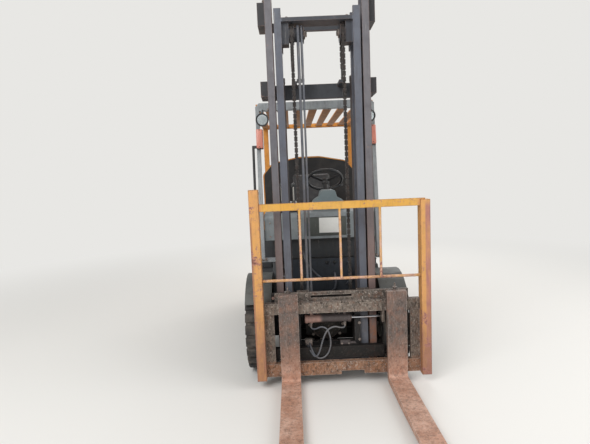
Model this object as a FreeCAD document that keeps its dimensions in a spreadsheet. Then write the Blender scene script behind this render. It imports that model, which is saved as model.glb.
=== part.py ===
"""Counterbalance forklift truck with a two-stage mast, side shift and load backrest.

Sizes are in millimetres. The truck is drawn about its front axle: x = 0 is the truck's centre
plane, y = 0 the front axle with the forks towards -y, and z = 0 the floor. Every piece is then
moved by the same origin shift, so that the model's origin is the middle of its box on the floor.
"""
import FreeCAD, Part
import math
import os
from types import SimpleNamespace

import Sketcher

Vector = FreeCAD.Vector
doc = FreeCAD.newDocument("forklift")

# name, value, what it measures
SIZES = (
    ("wheel_base", 1600, "front axle to rear axle"),
    ("front_tyre_radius", 340, "drive tyre"),
    ("front_tyre_width", 180, "drive tyre"),
    ("front_track", 980, "middle to middle of the drive tyres"),
    ("front_rim_radius", 155, "drive rim at the bead"),
    ("rear_tyre_radius", 270, "steered tyre"),
    ("rear_tyre_width", 160, "steered tyre"),
    ("rear_track", 940, "middle to middle of the steered tyres"),
    ("rear_rim_radius", 115, "steered rim at the bead"),
    ("fender_gap", 24, "between the drive tyre and its mudguard"),
    ("lug_count", 24, "lugs round a tyre"),
    ("lug_depth", 14, "groove between the lugs"),
    ("lug_gap", 20, "groove's width"),
    ("axle_radius", 75, "drive axle tube"),
    ("spindle_radius", 40, "drive axle where the hub turns"),
    ("running_gap", 0.3, "between pieces that turn or slide on each other"),
    ("mast_width", 690, "outside of the outer rails"),
    ("mast_front", 290, "outer rails' front face ahead of the axle"),
    ("rail_depth", 150, "rail, front to back"),
    ("flange_width", 48, "rail flange"),
    ("flange_thickness", 20, "rail flange"),
    ("web_thickness", 18, "rail web"),
    ("rail_gap", 12, "between outer and inner flanges"),
    ("mast_bottom", 80, "outer rails' foot above the floor"),
    ("mast_height", 2650, "outer rails' top above the floor"),
    ("inner_bottom", 110, "inner rails' foot above the floor"),
    ("inner_drop", 110, "inner rails' top below the outer rails' top"),
    ("lift_stroke", 1650, "travel of each mast stage"),
    ("tie_drop", 666, "middle tie's lower edge below the outer rails' top"),
    ("tie_height", 103, "middle tie"),
    ("tie_width", 790, "middle tie across its wrapped ends"),
    ("tie_back", 50, "back of the ties ahead of the axle"),
    ("tie_thickness", 22, "tie plate"),
    ("head_tie_drop", 170, "inner mast's top tie below the outer rails' top"),
    ("chain_place", 170, "lift chains from the centre plane"),
    ("chain_width", 22, "lift chain"),
    ("chain_thickness", 16, "lift chain"),
    ("chain_pitch", 19.05, "lift chain"),
    ("sheave_radius", 50, "under the chain"),
    ("sheave_forward", 222, "sheave pin ahead of the axle"),
    ("sheave_drop", 265, "sheave pin below the outer rails' top"),
    ("hose_sheave_radius", 46, "under the hoses"),
    ("barrel_radius", 26, "lift cylinder"),
    ("barrel_place", 255, "lift cylinder from the centre plane"),
    ("barrel_forward", 106, "lift cylinder ahead of the axle"),
    ("barrel_drop", 590, "lift cylinder's top below the outer rails' top"),
    ("rod_radius", 17, "lift cylinder rod"),
    ("side_shift", 95, "fork frame's offset from the centre plane as parked"),
    ("shift_travel", 190, "fork frame's whole side travel"),
    ("fork_face", 440, "front face of the fork shanks ahead of the axle"),
    ("fork_width", 130, "fork"),
    ("fork_thickness", 45, "fork"),
    ("fork_length", 1150, "fork blade from the shank's face"),
    ("fork_spread", 728, "middle to middle of the forks"),
    ("fork_clear", 12, "fork's underside above the floor"),
    ("shank_top", 650, "fork shank above the floor"),
    ("bar_thickness", 40, "fork bars"),
    ("bar_width", 1060, "fork bars"),
    ("upper_bar_low", 508, "upper fork bar above the floor"),
    ("upper_bar_height", 76, "upper fork bar"),
    ("lower_bar_low", 70, "lower fork bar above the floor"),
    ("lower_bar_height", 90, "lower fork bar"),
    ("rest_width", 1186, "load backrest across its posts"),
    ("rest_post_depth", 75, "load backrest post, front to back"),
    ("rest_top", 1265, "load backrest's top bar above the floor"),
    ("rest_post_top", 1360, "longer post above the floor"),
    ("plate_place", 352, "chassis plate's inner face from the centre plane"),
    ("plate_thickness", 33, "chassis plate"),
    ("sill_place", 545, "outside of the side tanks from the centre plane"),
    ("deck_height", 770, "top of the chassis plates at the driver's feet"),
    ("floor_drop", 70, "driver's floor below the chassis plates' top"),
    ("cowl_front", 230, "cowl's front face behind the axle"),
    ("cowl_gap", 160, "cowl's lower edge above the chassis plates' top"),
    ("cowl_height", 210, "cowl"),
    ("cowl_width", 890, "cowl"),
    ("cowl_depth", 310, "cowl, front to back"),
    ("cowl_wall", 20, "cowl's wall"),
    ("column_place", 95, "steering column from the centre plane"),
    ("wheel_ring_radius", 158, "steering wheel's rim at its tube's middle"),
    ("wheel_ring_tube", 13, "steering wheel's rim tube"),
    ("wheel_rise", 230, "steering wheel's middle above the cowl"),
    ("wheel_back", 770, "steering wheel's middle behind the axle"),
    ("apron_front", 745, "seat apron's front behind the axle"),
    ("hood_front", 970, "hood's front edge behind the axle"),
    ("hood_back", 1600, "hood's rear edge behind the axle"),
    ("hood_low", 905, "hood's lower edge above the floor"),
    ("hood_top", 1030, "hood's top above the floor"),
    ("hood_width", 860, "hood"),
    ("hood_wall", 25, "hood's wall"),
    ("ballast_top", 1080, "counterweight's top above the floor"),
    ("ballast_back", 2120, "counterweight's rear behind the axle"),
    ("ballast_width", 1110, "counterweight"),
    ("arch_radius", 345, "wheel arch in the counterweight"),
    ("guard_top", 2035, "overhead guard's frame above the floor"),
    ("guard_beam", 60, "overhead guard's front beam"),
    ("guard_front", 330, "overhead guard's front beam behind the axle"),
    ("guard_back", 1940, "overhead guard's rear behind the axle"),
    ("guard_width", 960, "overhead guard's front beam"),
    ("pillar_width", 30, "front pillar, side to side"),
    ("pillar_depth", 60, "front pillar, front to back"),
    ("pillar_foot", 170, "front pillar's foot behind the axle"),
    ("rear_pillar_outside", 515, "rear pillar's outside from the centre plane"),
    ("rear_pillar_width", 55, "rear pillar"),
    ("slat_count", 7, "slats of the guard's roof"),
    ("slat_width", 70, "roof slat"),
    ("shroud_front", 1870, "rear shroud's front behind the axle"),
    ("shroud_depth", 80, "rear shroud, front to back"),
    ("shroud_top", 1660, "rear shroud's crown above the floor"),
    ("shroud_width", 1080, "rear shroud"),
    ("tilt_pin_back", 430, "tilt cylinder's chassis pin behind the axle"),
    ("tilt_pin_height", 590, "tilt cylinder's chassis pin above the floor"),
    ("tilt_eye_forward", 95, "tilt rod's pin ahead of the axle"),
    ("tilt_eye_height", 690, "tilt rod's pin above the floor"),
    ("tilt_place", 310, "tilt cylinders from the centre plane"),
    ("king_pin_place", 380, "king pins from the centre plane"),
    ("tow_bore", 15, "tow pin bore's radius"),
)


class Size:
    """A size that knows its value and the expression that binds it to the sheet."""

    def __init__(self, value, text):
        self.value = value
        self.text = text

    def __add__(self, other):
        other = as_size(other)
        return Size(self.value + other.value, f"({self.text} + {other.text})")

    def __sub__(self, other):
        other = as_size(other)
        return Size(self.value - other.value, f"({self.text} - {other.text})")

    def __mul__(self, other):
        other = as_size(other)
        return Size(self.value * other.value, f"({self.text} * {other.text})")

    def __truediv__(self, other):
        other = as_size(other)
        return Size(self.value / other.value, f"({self.text} / {other.text})")

    def __radd__(self, other):
        return as_size(other) + self

    def __rsub__(self, other):
        return as_size(other) - self

    def __rmul__(self, other):
        return as_size(other) * self

    def __neg__(self):
        return as_size(0) - self


def as_size(size):
    """A plain number becomes a size that no cell drives."""
    return size if isinstance(size, Size) else Size(float(size), f"({float(size)})")


def root(size):
    """Square root of a size."""
    return Size(math.sqrt(size.value), f"sqrt({size.text})")


sheet = doc.addObject("Spreadsheet::Sheet", "Sizes")
for row, (alias, value, meaning) in enumerate(SIZES, start=1):
    sheet.set(f"A{row}", meaning)
    sheet.set(f"B{row}", str(value))
    sheet.setAlias(f"B{row}", alias)
doc.recompute()
S = SimpleNamespace(**{alias: Size(value, f"Sizes.{alias}") for alias, value, meaning in SIZES})

# the box's middle: tyre on one side, shifted backrest on the other; fork tips and counterweight
SHIFT_X = (S.front_track / 2 + S.front_tyre_width / 2 - S.side_shift - S.rest_width / 2) / 2
SHIFT_Y = (S.fork_face + S.fork_length - S.ballast_back) / 2

pieces = []


def bind(item, prop, size):
    """Tie a property to the sheet."""
    item.setExpression(prop, as_size(size).text)


def slope(rise, run):
    """Angle in degrees whose tangent is rise over run."""
    rise, run = as_size(rise), as_size(run)
    return Size(math.degrees(math.atan2(rise.value, run.value)),
                f"atan2({rise.text}; {run.text})")


def new_piece(label, x=0, y=0, z=0, turn_x=None):
    """A sub-part drawn about its own point (x, y, z) of the truck and turned about x there."""
    body = doc.addObject("PartDesign::Body", label)
    body.Label = label
    bind(body, "Placement.Base.x", SHIFT_X + x)
    bind(body, "Placement.Base.y", SHIFT_Y + y)
    bind(body, "Placement.Base.z", as_size(z))
    if turn_x:
        body.Placement.Rotation = FreeCAD.Rotation(Vector(1, 0, 0), turn_x.value)
        bind(body, "Placement.Rotation.Angle", turn_x)
    pieces.append(body)
    return body


def origin_feature(body, role):
    """One of the body's own planes or axes."""
    return next(item for item in body.Origin.OriginFeatures if item.Role == role)


def new_sketch(body, plane, level):
    """Sketch on the body's own XY, XZ or YZ plane, moved along the plane's normal by level."""
    sketch = body.newObject("Sketcher::SketchObject", f"{body.Name}_sketch")
    sketch.AttachmentSupport = (origin_feature(body, f"{plane}_Plane"), [""])
    sketch.MapMode = "FlatFace"
    bind(sketch, "AttachmentOffset.Base.z", level)
    return sketch


def hold(sketch, rules):
    """Add the rules, (constraint, size or None), in one go and tie each size to its own."""
    numbers = sketch.addConstraint([rule for rule, size in rules])
    for number, (rule, size) in zip(numbers, rules):
        if size:
            sketch.setExpression(f"Constraints[{number}]", size.text)


def pin_point(geometry, end, u, v):
    """Rules that hold a sketch point at sizes measured from the sketch's origin."""
    return [(Sketcher.Constraint(kind, -1, 1, geometry, end, size.value), size)
            for kind, size in (("DistanceX", as_size(u)), ("DistanceY", as_size(v)))]


def draw_circle(sketch, u, v, radius):
    """Circle with its centre and radius bound."""
    u, v, radius = as_size(u), as_size(v), as_size(radius)
    centre = Vector(u.value, v.value, 0)
    circle = sketch.addGeometry(Part.Circle(centre, Vector(0, 0, 1), radius.value))
    hold(sketch, pin_point(circle, 3, u, v)
         + [(Sketcher.Constraint("Radius", circle, radius.value), radius)])


def draw_outline(sketch, corners):
    """Closed outline through (u, v) or (u, v, radius) corners; a radius rounds its corner."""
    flat = [Vector(as_size(c[0]).value, as_size(c[1]).value, 0) for c in corners]
    count = len(corners)
    starts, ends, arcs = [], [], {}
    for index, corner in enumerate(corners):
        here, before, after = flat[index], flat[index - 1], flat[(index + 1) % count]
        if len(corner) < 3:
            starts.append(here)
            ends.append(here)
            continue
        radius = as_size(corner[2]).value
        back = (before - here).normalize()
        ahead = (after - here).normalize()
        half = math.acos(max(-1, min(1, back.dot(ahead)))) / 2
        reach = radius / math.tan(half)
        centre = here + (back + ahead).normalize() * (radius / math.sin(half))
        starts.append(here + back * reach)
        ends.append(here + ahead * reach)
        # an arc is drawn anticlockwise, also where the outline turns to the right
        leftward = ahead.cross(back).z > 0
        sweep = [starts[-1] - centre, ends[-1] - centre][::1 if leftward else -1]
        low, high = (math.atan2(spoke.y, spoke.x) for spoke in sweep)
        circle = Part.Circle(centre, Vector(0, 0, 1), radius)
        arc = Part.ArcOfCircle(circle, low, high if high > low else high + 2 * math.pi)
        arcs[index] = (arc, (1, 2) if leftward else (2, 1))
    lines = sketch.addGeometry([Part.LineSegment(ends[index], starts[(index + 1) % count])
                                for index in range(count)])
    rules = []
    for index, corner in enumerate(corners):
        line_in, line_out = lines[index - 1], lines[index]
        if index not in arcs:
            rules.append((Sketcher.Constraint("Coincident", line_in, 2, line_out, 1), None))
            rules += pin_point(line_out, 1, corner[0], corner[1])
            continue
        arc = sketch.addGeometry(arcs[index][0])
        first, last = arcs[index][1]
        knot = sketch.addGeometry(Part.Point(flat[index]), True)
        radius = as_size(corner[2])
        rules += pin_point(knot, 1, corner[0], corner[1])
        rules += [(Sketcher.Constraint("PointOnObject", knot, 1, line_in), None),
                  (Sketcher.Constraint("PointOnObject", knot, 1, line_out), None),
                  (Sketcher.Constraint("Tangent", line_in, 2, arc, first), None),
                  (Sketcher.Constraint("Tangent", arc, last, line_out, 1), None),
                  (Sketcher.Constraint("Radius", arc, radius.value), radius)]
    hold(sketch, rules)


def draw(sketch, shapes):
    """Draw outlines, given as lists, and circles, given as tuples (u, v, radius)."""
    for shape in shapes:
        if isinstance(shape, list):
            draw_outline(sketch, shape)
        else:
            draw_circle(sketch, *shape)


def box(u_low, u_high, v_low, v_high, *radius):
    """Rectangle's corners, all rounded by the one radius where it is given."""
    return [(u_low, v_low, *radius), (u_high, v_low, *radius),
            (u_high, v_high, *radius), (u_low, v_high, *radius)]


def facets(u, v, radius, count, start=0.5):
    """Regular outline of straight facets about (u, v), its corners on the radius."""
    radius, turn = as_size(radius), 2 * math.pi / count
    return [(u + radius * math.cos(turn * (start + n)), v + radius * math.sin(turn * (start + n)))
            for n in range(count)]


def pad(body, plane, low, high, *shapes):
    """Solid between two levels along x (YZ), y (XZ) or z (XY)."""
    # the XZ plane's normal is -y
    level = -as_size(high) if plane == "XZ" else as_size(low)
    sketch = new_sketch(body, plane, level)
    draw(sketch, shapes)
    feature = body.newObject("PartDesign::Pad", f"{body.Name}_pad")
    feature.Profile = sketch
    bind(feature, "Length", as_size(high) - low)
    return feature


def cut(body, plane, low, high, *shapes):
    """Take away what lies between two levels along x (YZ), y (XZ) or z (XY)."""
    level = -as_size(low) if plane == "XZ" else as_size(high)
    sketch = new_sketch(body, plane, level)
    draw(sketch, shapes)
    feature = body.newObject("PartDesign::Pocket", f"{body.Name}_pocket")
    feature.Profile = sketch
    bind(feature, "Length", as_size(high) - low)
    return feature


def revolve(body, plane, axis, *shapes):
    """Solid of revolution about the sketch's horizontal (H) or vertical (V) axis."""
    sketch = new_sketch(body, plane, 0)
    draw(sketch, shapes)
    feature = body.newObject("PartDesign::Revolution", f"{body.Name}_turned")
    feature.Profile = sketch
    feature.ReferenceAxis = (sketch, [f"{axis}_Axis"])
    feature.Angle = 360
    return feature


def repeat_round(body, feature, axis, count):
    """Repeat a feature evenly round one of the body's own axes."""
    pattern = body.newObject("PartDesign::PolarPattern", f"{body.Name}_ring")
    pattern.Originals = [feature]
    pattern.Axis = (origin_feature(body, f"{axis}_Axis"), [""])
    pattern.Angle = 360
    bind(pattern, "Occurrences", count)
    body.Tip = pattern
    return pattern


def repeat_along(body, feature, axis, length, count):
    """Repeat a feature evenly along one of the body's own axes over a length."""
    pattern = body.newObject("PartDesign::LinearPattern", f"{body.Name}_row")
    pattern.Originals = [feature]
    pattern.Direction = (origin_feature(body, f"{axis}_Axis"), [""])
    bind(pattern, "Length", length)
    bind(pattern, "Occurrences", count)
    body.Tip = pattern
    return pattern


def mirrored(outline, side):
    """Outline with its first coordinate times side."""
    return [(as_size(c[0]) * side, *c[1:]) for c in outline]


SIDES = ((1, "left"), (-1, "right"))    # the driver's left is +x

RAIL_FRONT = -S.mast_front
RAIL_BACK = -S.mast_front + S.rail_depth
OUTER_FACE = S.mast_width / 2
OUTER_EDGE = OUTER_FACE - S.flange_width
INNER_FACE = OUTER_EDGE - S.rail_gap
INNER_EDGE = INNER_FACE - S.flange_width
FRAME_FACE = -S.fork_face + S.fork_thickness     # front of the fork bars
FRAME_BACK = FRAME_FACE + S.bar_thickness
PLATE_OUT = S.plate_place + S.plate_thickness
INNER_TOP = S.mast_height - S.inner_drop
TIE_LOW = S.mast_height - S.tie_drop
HEAD_TIE = S.mast_height - S.head_tie_drop
SHEAVE = S.mast_height - S.sheave_drop
BARREL_TOP = S.mast_height - S.barrel_drop
FLOOR = S.deck_height - S.floor_drop
COWL_LOW = S.deck_height + S.cowl_gap
COWL_TOP = COWL_LOW + S.cowl_height
WHEEL_HEIGHT = COWL_TOP + S.wheel_rise
CARRIAGE_LOW = S.lower_bar_low + S.lower_bar_height + 10
CARRIAGE_HIGH = S.upper_bar_low + S.upper_bar_height + 56


def build_chassis():
    """Two side plates, cross members, side tanks with steps and the tilt cylinders' brackets."""
    body = new_piece("chassis_frame")
    plate = [(-95, 255), (-95, 430), (10, 600), (100, S.deck_height), (640, S.deck_height),
             (700, 620), (1440, 620), (1440, 560), (1262, 560), (1262, 380), (1210, 255)]
    snug = (S.axle_radius + S.running_gap) / math.cos(math.pi / 12)
    axle_hole = facets(0, S.front_tyre_radius, snug, 12)
    pad(body, "YZ", S.plate_place, PLATE_OUT, plate, axle_hole)
    pad(body, "YZ", -PLATE_OUT, -S.plate_place, plate, axle_hole)
    tank = [(430, 300), (430, 420), (640, 420), (640, 580), (670, 610),
            (1200, 610), (1230, 580), (1230, 330), (1200, 300)]
    pad(body, "YZ", PLATE_OUT, S.sill_place, tank)
    pad(body, "YZ", -S.sill_place, -PLATE_OUT, tank)
    beside = S.hood_width / 2 + S.running_gap
    high_box = [(745, 600), (765, S.hood_low - 25), (1430, S.hood_low - 25), (1430, 610),
                (1200, 600)]
    pad(body, "YZ", beside, S.sill_place, high_box)
    pad(body, "YZ", -S.sill_place, -beside, high_box)
    for low, high, bottom, top in ((1380, 1440, 560, 620), (470, 500, 440, 640)):
        pad(body, "XZ", low, high, box(-S.plate_place, S.plate_place, bottom, top))
    pin_y, pin_z = S.tilt_pin_back, S.tilt_pin_height
    for side, name in SIDES:
        lug = [(pin_y - 28, pin_z - 14), (pin_y - 28, pin_z + 14), (pin_y - 14, pin_z + 28),
               (472, pin_z + 40), (472, pin_z - 60), (pin_y - 14, pin_z - 28)]
        for near, far in ((17, 25), (-25, -17)):
            place = side * S.tilt_place
            pad(body, "YZ", place + near, place + far, lug)
        pad(body, "YZ", side * S.tilt_place - 19, side * S.tilt_place + 19, (pin_y, pin_z, 14))


def build_floor():
    """Front plate with its two holes and the driver's floor behind it."""
    body = new_piece("floor_plate")
    back = 160
    foot = FLOOR - 200
    profile = [(back - 12, foot), (back - 12, S.deck_height + 10), (back, S.deck_height + 10),
               (back + 60, FLOOR), (740, FLOOR), (740, FLOOR - 12),
               (back, FLOOR - 12), (back, foot)]
    pad(body, "YZ", -262, 262, profile)
    wing = [(back + 70, FLOOR), (740, FLOOR),
            (740, FLOOR - 12), (back + 70, FLOOR - 12)]
    pad(body, "YZ", 262, S.plate_place, wing)
    pad(body, "YZ", -S.plate_place, -262, wing)
    hole_z = S.deck_height - 25
    cut(body, "XZ", back - 20, back + 70, (43, hole_z, 15), (102, hole_z, 15))


def build_cowl():
    """Cowl over the driver's feet: front wall, rolled top and end cheeks, open behind."""
    body = new_piece("cowl")
    front, low, top, wall = S.cowl_front, COWL_LOW, COWL_TOP, S.cowl_wall
    half = S.cowl_width / 2
    back = front + S.cowl_depth
    sheet_outline = [(front, low), (front, top, 40), (back, top), (back, top - wall),
                     (front + wall, top - wall, 40 - wall), (front + wall, low)]
    pad(body, "YZ", -half, half, sheet_outline)
    cheek = [(front + wall, low), (front + wall, top - wall, 40 - wall),
             (back, top - wall), (back, top - 90), (front + 110, low)]
    pad(body, "YZ", half - wall, half, cheek)
    pad(body, "YZ", -half, -half + wall, cheek)
    panel = box(-124, 215, low + 20, top - 35)
    cut(body, "XZ", front, front + 6, panel)

    lower = new_piece("cowl_base")
    pad(lower, "XZ", front + 42, front + 62, box(-PLATE_OUT, PLATE_OUT, S.deck_height, low))
    pad(lower, "XZ", front + 62, front + 90,
        box(-S.plate_place - 15, -S.plate_place, S.deck_height, low - 20),
        box(S.plate_place, S.plate_place + 15, S.deck_height, low - 20))
    pad(lower, "XZ", front + wall, front + 42,
        box(-PLATE_OUT, PLATE_OUT, low - 14, low))


def build_column():
    """Domed cover on the cowl, the column that rises from it and the wheel's shaft."""
    body = new_piece("steering_column", S.column_place)
    base, top = COWL_TOP, COWL_TOP + 170
    dome = [(-132, base), (-132, base + 70), (-112, base + 92), (-74, base + 112), (-62, top - 12),
            (-50, top), (50, top), (62, top - 12), (74, base + 112), (112, base + 92),
            (132, base + 70), (132, base)]
    pad(body, "XZ", S.cowl_front + 210, S.cowl_front + 430, dome)
    run, rise = S.wheel_back - 580, WHEEL_HEIGHT - COWL_TOP + 40
    length = root(run * run + rise * rise)
    lean = slope(-run, rise)
    for start, reach, radius in ((12, 40, 11), (-20, length - 120, 27)):
        sketch = new_sketch(body, "XY", 0)
        sketch.AttachmentOffset = FreeCAD.Placement(
            Vector(0, 0, 0), FreeCAD.Rotation(Vector(1, 0, 0), lean.value))
        bind(sketch, "AttachmentOffset.Rotation.Angle", lean)
        bind(sketch, "AttachmentOffset.Base.y", S.wheel_back + start * run / length)
        bind(sketch, "AttachmentOffset.Base.z", WHEEL_HEIGHT + start * rise / length)
        draw_circle(sketch, 0, 0, radius)
        shaft = body.newObject("PartDesign::Pad", "column_shaft")
        shaft.Profile = sketch
        shaft.Reversed = True
        bind(shaft, "Length", reach)
    return lean


def build_wheel_ring(lean):
    """Steering wheel: rim, three spokes and a hub that turns on the column's end."""
    body = new_piece("steering_wheel", S.column_place, S.wheel_back, WHEEL_HEIGHT, lean)
    ring = S.wheel_ring_radius
    tube = S.wheel_ring_tube
    for low, high, thick in ((20, 42, tube * 0.7), (24, 38, tube)):
        pad(body, "XY", low, high, facets(0, 0, ring + thick, 32), facets(0, 0, ring - thick, 32))
    pad(body, "XY", -19.7, 24, facets(0, 0, 34, 12), (0, 0, 11 + S.running_gap))
    arm = pad(body, "XY", 8, 22, box(-14, 14, 28, ring + 4))
    repeat_round(body, arm, "Z", 3)


def build_controls():
    """Hydraulic levers on their console, the direction lever and the pedals."""
    body = new_piece("levers")
    pad(body, "YZ", -330, -170,
        [(350, COWL_TOP), (350, COWL_TOP + 50), (370, COWL_TOP + 68), (466, COWL_TOP + 90),
         (466, COWL_TOP)])
    for number in range(3):
        foot = -300 + 50 * number
        pad(body, "XY", COWL_TOP + 60, COWL_TOP + 210, facets(foot, 420, 7, 8))
        pad(body, "XY", COWL_TOP + 210, COWL_TOP + 245, facets(foot, 420, 14, 10))

    pedals = new_piece("pedals")
    front = S.cowl_front + 62
    for low, high, drop in ((-150, -70, 60), (40, 150, 50), (180, 240, 50)):
        pad(pedals, "YZ", low, high,
            [(front + 70, FLOOR + 60), (front + 100, FLOOR + 70),
             (front + 130, FLOOR + 60 + drop + 60),
             (front + 112, FLOOR + 60 + drop + 66)])
        middle = (low + high) / 2
        pad(pedals, "YZ", middle - 8, middle + 8,
            [(front, COWL_LOW - 50), (front + 30, COWL_LOW - 30),
             (front + 122, FLOOR + 60 + drop + 66), (front + 100, FLOOR + 60 + drop + 10),
             (front, COWL_LOW - 80)])


def build_fenders():
    """Mudguards that roll over the drive tyres."""
    body = new_piece("front_fenders", 0, 0, S.front_tyre_radius)
    inner = S.front_tyre_radius + S.fender_gap
    angles = [math.radians(15 + 129 / 10 * n) for n in range(11)]
    sheet_bend = [((inner + 8) * math.cos(a), (inner + 8) * math.sin(a)) for a in angles]
    sheet_bend += [(inner * math.cos(a), inner * math.sin(a)) for a in angles[::-1]]
    for low, high in ((PLATE_OUT, 575), (-as_size(575), -PLATE_OUT)):
        pad(body, "YZ", low, high, sheet_bend)


def build_engine():
    """Engine, drawn as one plain block on four feet."""
    body = new_piece("engine_block")
    pad(body, "YZ", -230, 230, [(800, 420), (800, 860), (1320, 860), (1320, 420), (1280, 380),
                                (840, 380)])
    for low in (860, 1120):
        pad(body, "XZ", low, low + 60, box(-S.plate_place, -230, 520, 560),
            box(230, S.plate_place, 520, 560))


def build_hood():
    """Hinged engine hood, its fixed side panels and the seat on it."""
    panels = new_piece("side_panels")
    half = S.hood_width / 2
    front, split, top, wall = S.apron_front, S.hood_front - 4, S.hood_top, S.hood_wall
    low_edge = S.hood_low - 0.4
    for low, high in ((half - wall, half), (-half, -half + wall)):
        pad(panels, "YZ", low, high,
            [(front, 700), (front, S.hood_low), (front + 12, top, 40), (split, top),
             (split, low_edge), (1440, low_edge), (1440, 620), (700 + 60, 620)])
    pad(panels, "YZ", -half + wall, half - wall,
        [(front, FLOOR + 0.5), (front, S.hood_low), (front + 12, top, 40), (split, top),
         (split, top - wall), (front + 40, top - wall), (front + 20, S.hood_low),
         (front + 20, FLOOR + 0.5)])
    pad(panels, "YZ", PLATE_OUT, half - wall, box(900, 1300, 620, 632))
    pad(panels, "YZ", -half + wall, -PLATE_OUT, box(900, 1300, 620, 632))

    body = new_piece("hood")
    shell = [(S.hood_front + 20, S.hood_low), (S.hood_front, top), (S.hood_back, top, 8),
             (S.hood_back, S.hood_low)]
    pad(body, "YZ", -half, half, shell)
    cut(body, "YZ", -half + wall, half - wall,
        [(S.hood_front + 20 + wall, S.hood_low), (S.hood_front + wall, top - wall),
         (S.hood_back - wall, top - wall), (S.hood_back - wall, S.hood_low)])
    hinge_y, hinge_z = S.hood_back - 4, top + 15
    for place in (-252, 204):
        pad(body, "YZ", place, place + 48,
            [(hinge_y - 60, top), (hinge_y - 60, top + 8), (hinge_y - 12, hinge_z - 4),
             (hinge_y - 6, hinge_z), (hinge_y, hinge_z - 9), (hinge_y - 10, top)])
        pad(body, "YZ", place, place + 48, facets(hinge_y, hinge_z, 10, 10))
        cut(body, "YZ", place, place + 48, (hinge_y, hinge_z, 5 + S.running_gap))

    cushion = new_piece("seat_cushion")
    low, high = S.hood_top + 20, S.hood_top + 135
    pad(cushion, "XZ", 1000, 1440,
        [(-235, low + 25), (-235, high - 25), (-210, high), (210, high), (235, high - 25),
         (235, low + 25), (210, low), (-210, low)])
    pad(cushion, "XZ", 1040, 1400, box(-180, 180, S.hood_top, S.hood_top + 20))
    back = new_piece("seat_back")
    pad(back, "YZ", -220, 220,
        [(1402, S.hood_top + 135.3), (1400, S.hood_top + 160), (1446, S.hood_top + 430),
         (1466, S.hood_top + 455), (1512, S.hood_top + 455), (1530, S.hood_top + 435),
         (1492, S.hood_top + 75), (1480, S.hood_top + 60),
         (1440.3, S.hood_top + 60), (1440.3, S.hood_top + 135.3)])


def build_counterweight():
    """Cast counterweight with the wheel arch under it and the tow jaw behind."""
    body = new_piece("counterweight")
    half = S.ballast_width / 2
    back, top = S.ballast_back, S.ballast_top
    front = 1440 + S.running_gap
    outline = [(front, 560), (front, 900), (S.hood_back + 8, 900), (S.hood_back + 8, top),
               (back - 60, top, 70), (back, 900), (back, 330, 80), (back - 120, 260),
               (1880, 260), (1880, 560)]
    pad(body, "YZ", -half, half, outline)
    for side in (1, -1):
        corner = [(half - 130, back + 5), (half + 5, back + 5), (half + 5, back - 130),
                  (half, back - 130), (half, back, 110), (half - 130, back)]
        cut(body, "XY", 200, top + 10, mirrored(corner, side))
    cut(body, "YZ", -half, half, (S.wheel_base, S.rear_tyre_radius, S.arch_radius))
    cut(body, "XZ", back - 120, back, box(-70, 70, 470, 550))
    cut(body, "XY", 400, 640, (0, back - 60, S.tow_bore))


def build_guard():
    """Overhead guard: light front hoop, rear pillars with side rails, and the roof's slats."""
    front = new_piece("guard_front")
    half = S.guard_width / 2
    top = S.guard_top
    low = top - S.guard_beam
    depth = 60
    pad(front, "XZ", S.guard_front, S.guard_front + depth,
        [(-half, low), (-half, top - 30), (-half + 30, top), (half - 30, top),
         (half, top - 30), (half, low)])
    lean = S.guard_front - S.pillar_foot
    pillar = [(S.pillar_foot, S.deck_height + 14), (S.guard_front, low),
              (S.guard_front + S.pillar_depth, low),
              (S.pillar_foot + S.pillar_depth, S.deck_height + 14)]
    foot = [(S.pillar_foot - 20, S.deck_height), (S.pillar_foot - 20, S.deck_height + 14),
            (S.pillar_foot + 100, S.deck_height + 14), (S.pillar_foot + 100, S.deck_height)]
    for low_x, high_x in ((half - S.pillar_width, half), (-half, -half + S.pillar_width)):
        pad(front, "YZ", low_x, high_x, pillar)
    for low_x, high_x in ((S.plate_place, half), (-half, -S.plate_place)):
        pad(front, "YZ", low_x, high_x, foot)

    handle_low, handle_high = 1300, 1700
    rise = low - S.deck_height - 14
    foot_y = S.pillar_foot + (handle_low - S.deck_height - 14) * lean / rise
    handle = new_piece("grab_handle", -half - 30, foot_y + S.pillar_depth / 2, handle_low,
                       slope(-lean, rise))
    pad(handle, "XY", 0, handle_high - handle_low, facets(0, 0, 10.8, 8))
    for height in (10, handle_high - handle_low - 10):
        pad(handle, "YZ", 0, 30, box(-10, 10, height - 10, height + 10))

    rear = new_piece("guard_rear")
    beam_back = S.guard_back
    rail_low, rail_high = top - 45, top
    outside = S.rear_pillar_outside
    start = S.guard_front + depth
    for side in (1, -1):
        rail = mirrored([(half - 40, start), (half, start), (outside, beam_back - 120),
                         (outside, beam_back), (outside - 55, beam_back),
                         (half - 40, beam_back - 300)], side)
        pad(rear, "XY", rail_low, rail_high, rail)
        pillar_low, pillar_high = sorted((side * outside.value,
                                          side * (outside - S.rear_pillar_width).value))
        pad(rear, "XZ", beam_back - 60, beam_back,
            mirrored([(outside - S.rear_pillar_width, 1500), (outside, 1470),
                      (outside, rail_low), (outside - S.rear_pillar_width, rail_low)], side))
    inside = outside - S.rear_pillar_width
    pad(rear, "XZ", beam_back - 60, beam_back, box(-inside, inside, rail_low, rail_high))
    slat_room = (half - 40) * 2
    pitch = slat_room / S.slat_count
    first = -slat_room / 2 + (pitch - S.slat_width) / 2
    slat = pad(rear, "XY", rail_low + 14, rail_low + 26,
               box(first, first + S.slat_width, start, beam_back - 60))
    repeat_along(rear, slat, "X", pitch * (S.slat_count - 1), S.slat_count)


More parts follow.
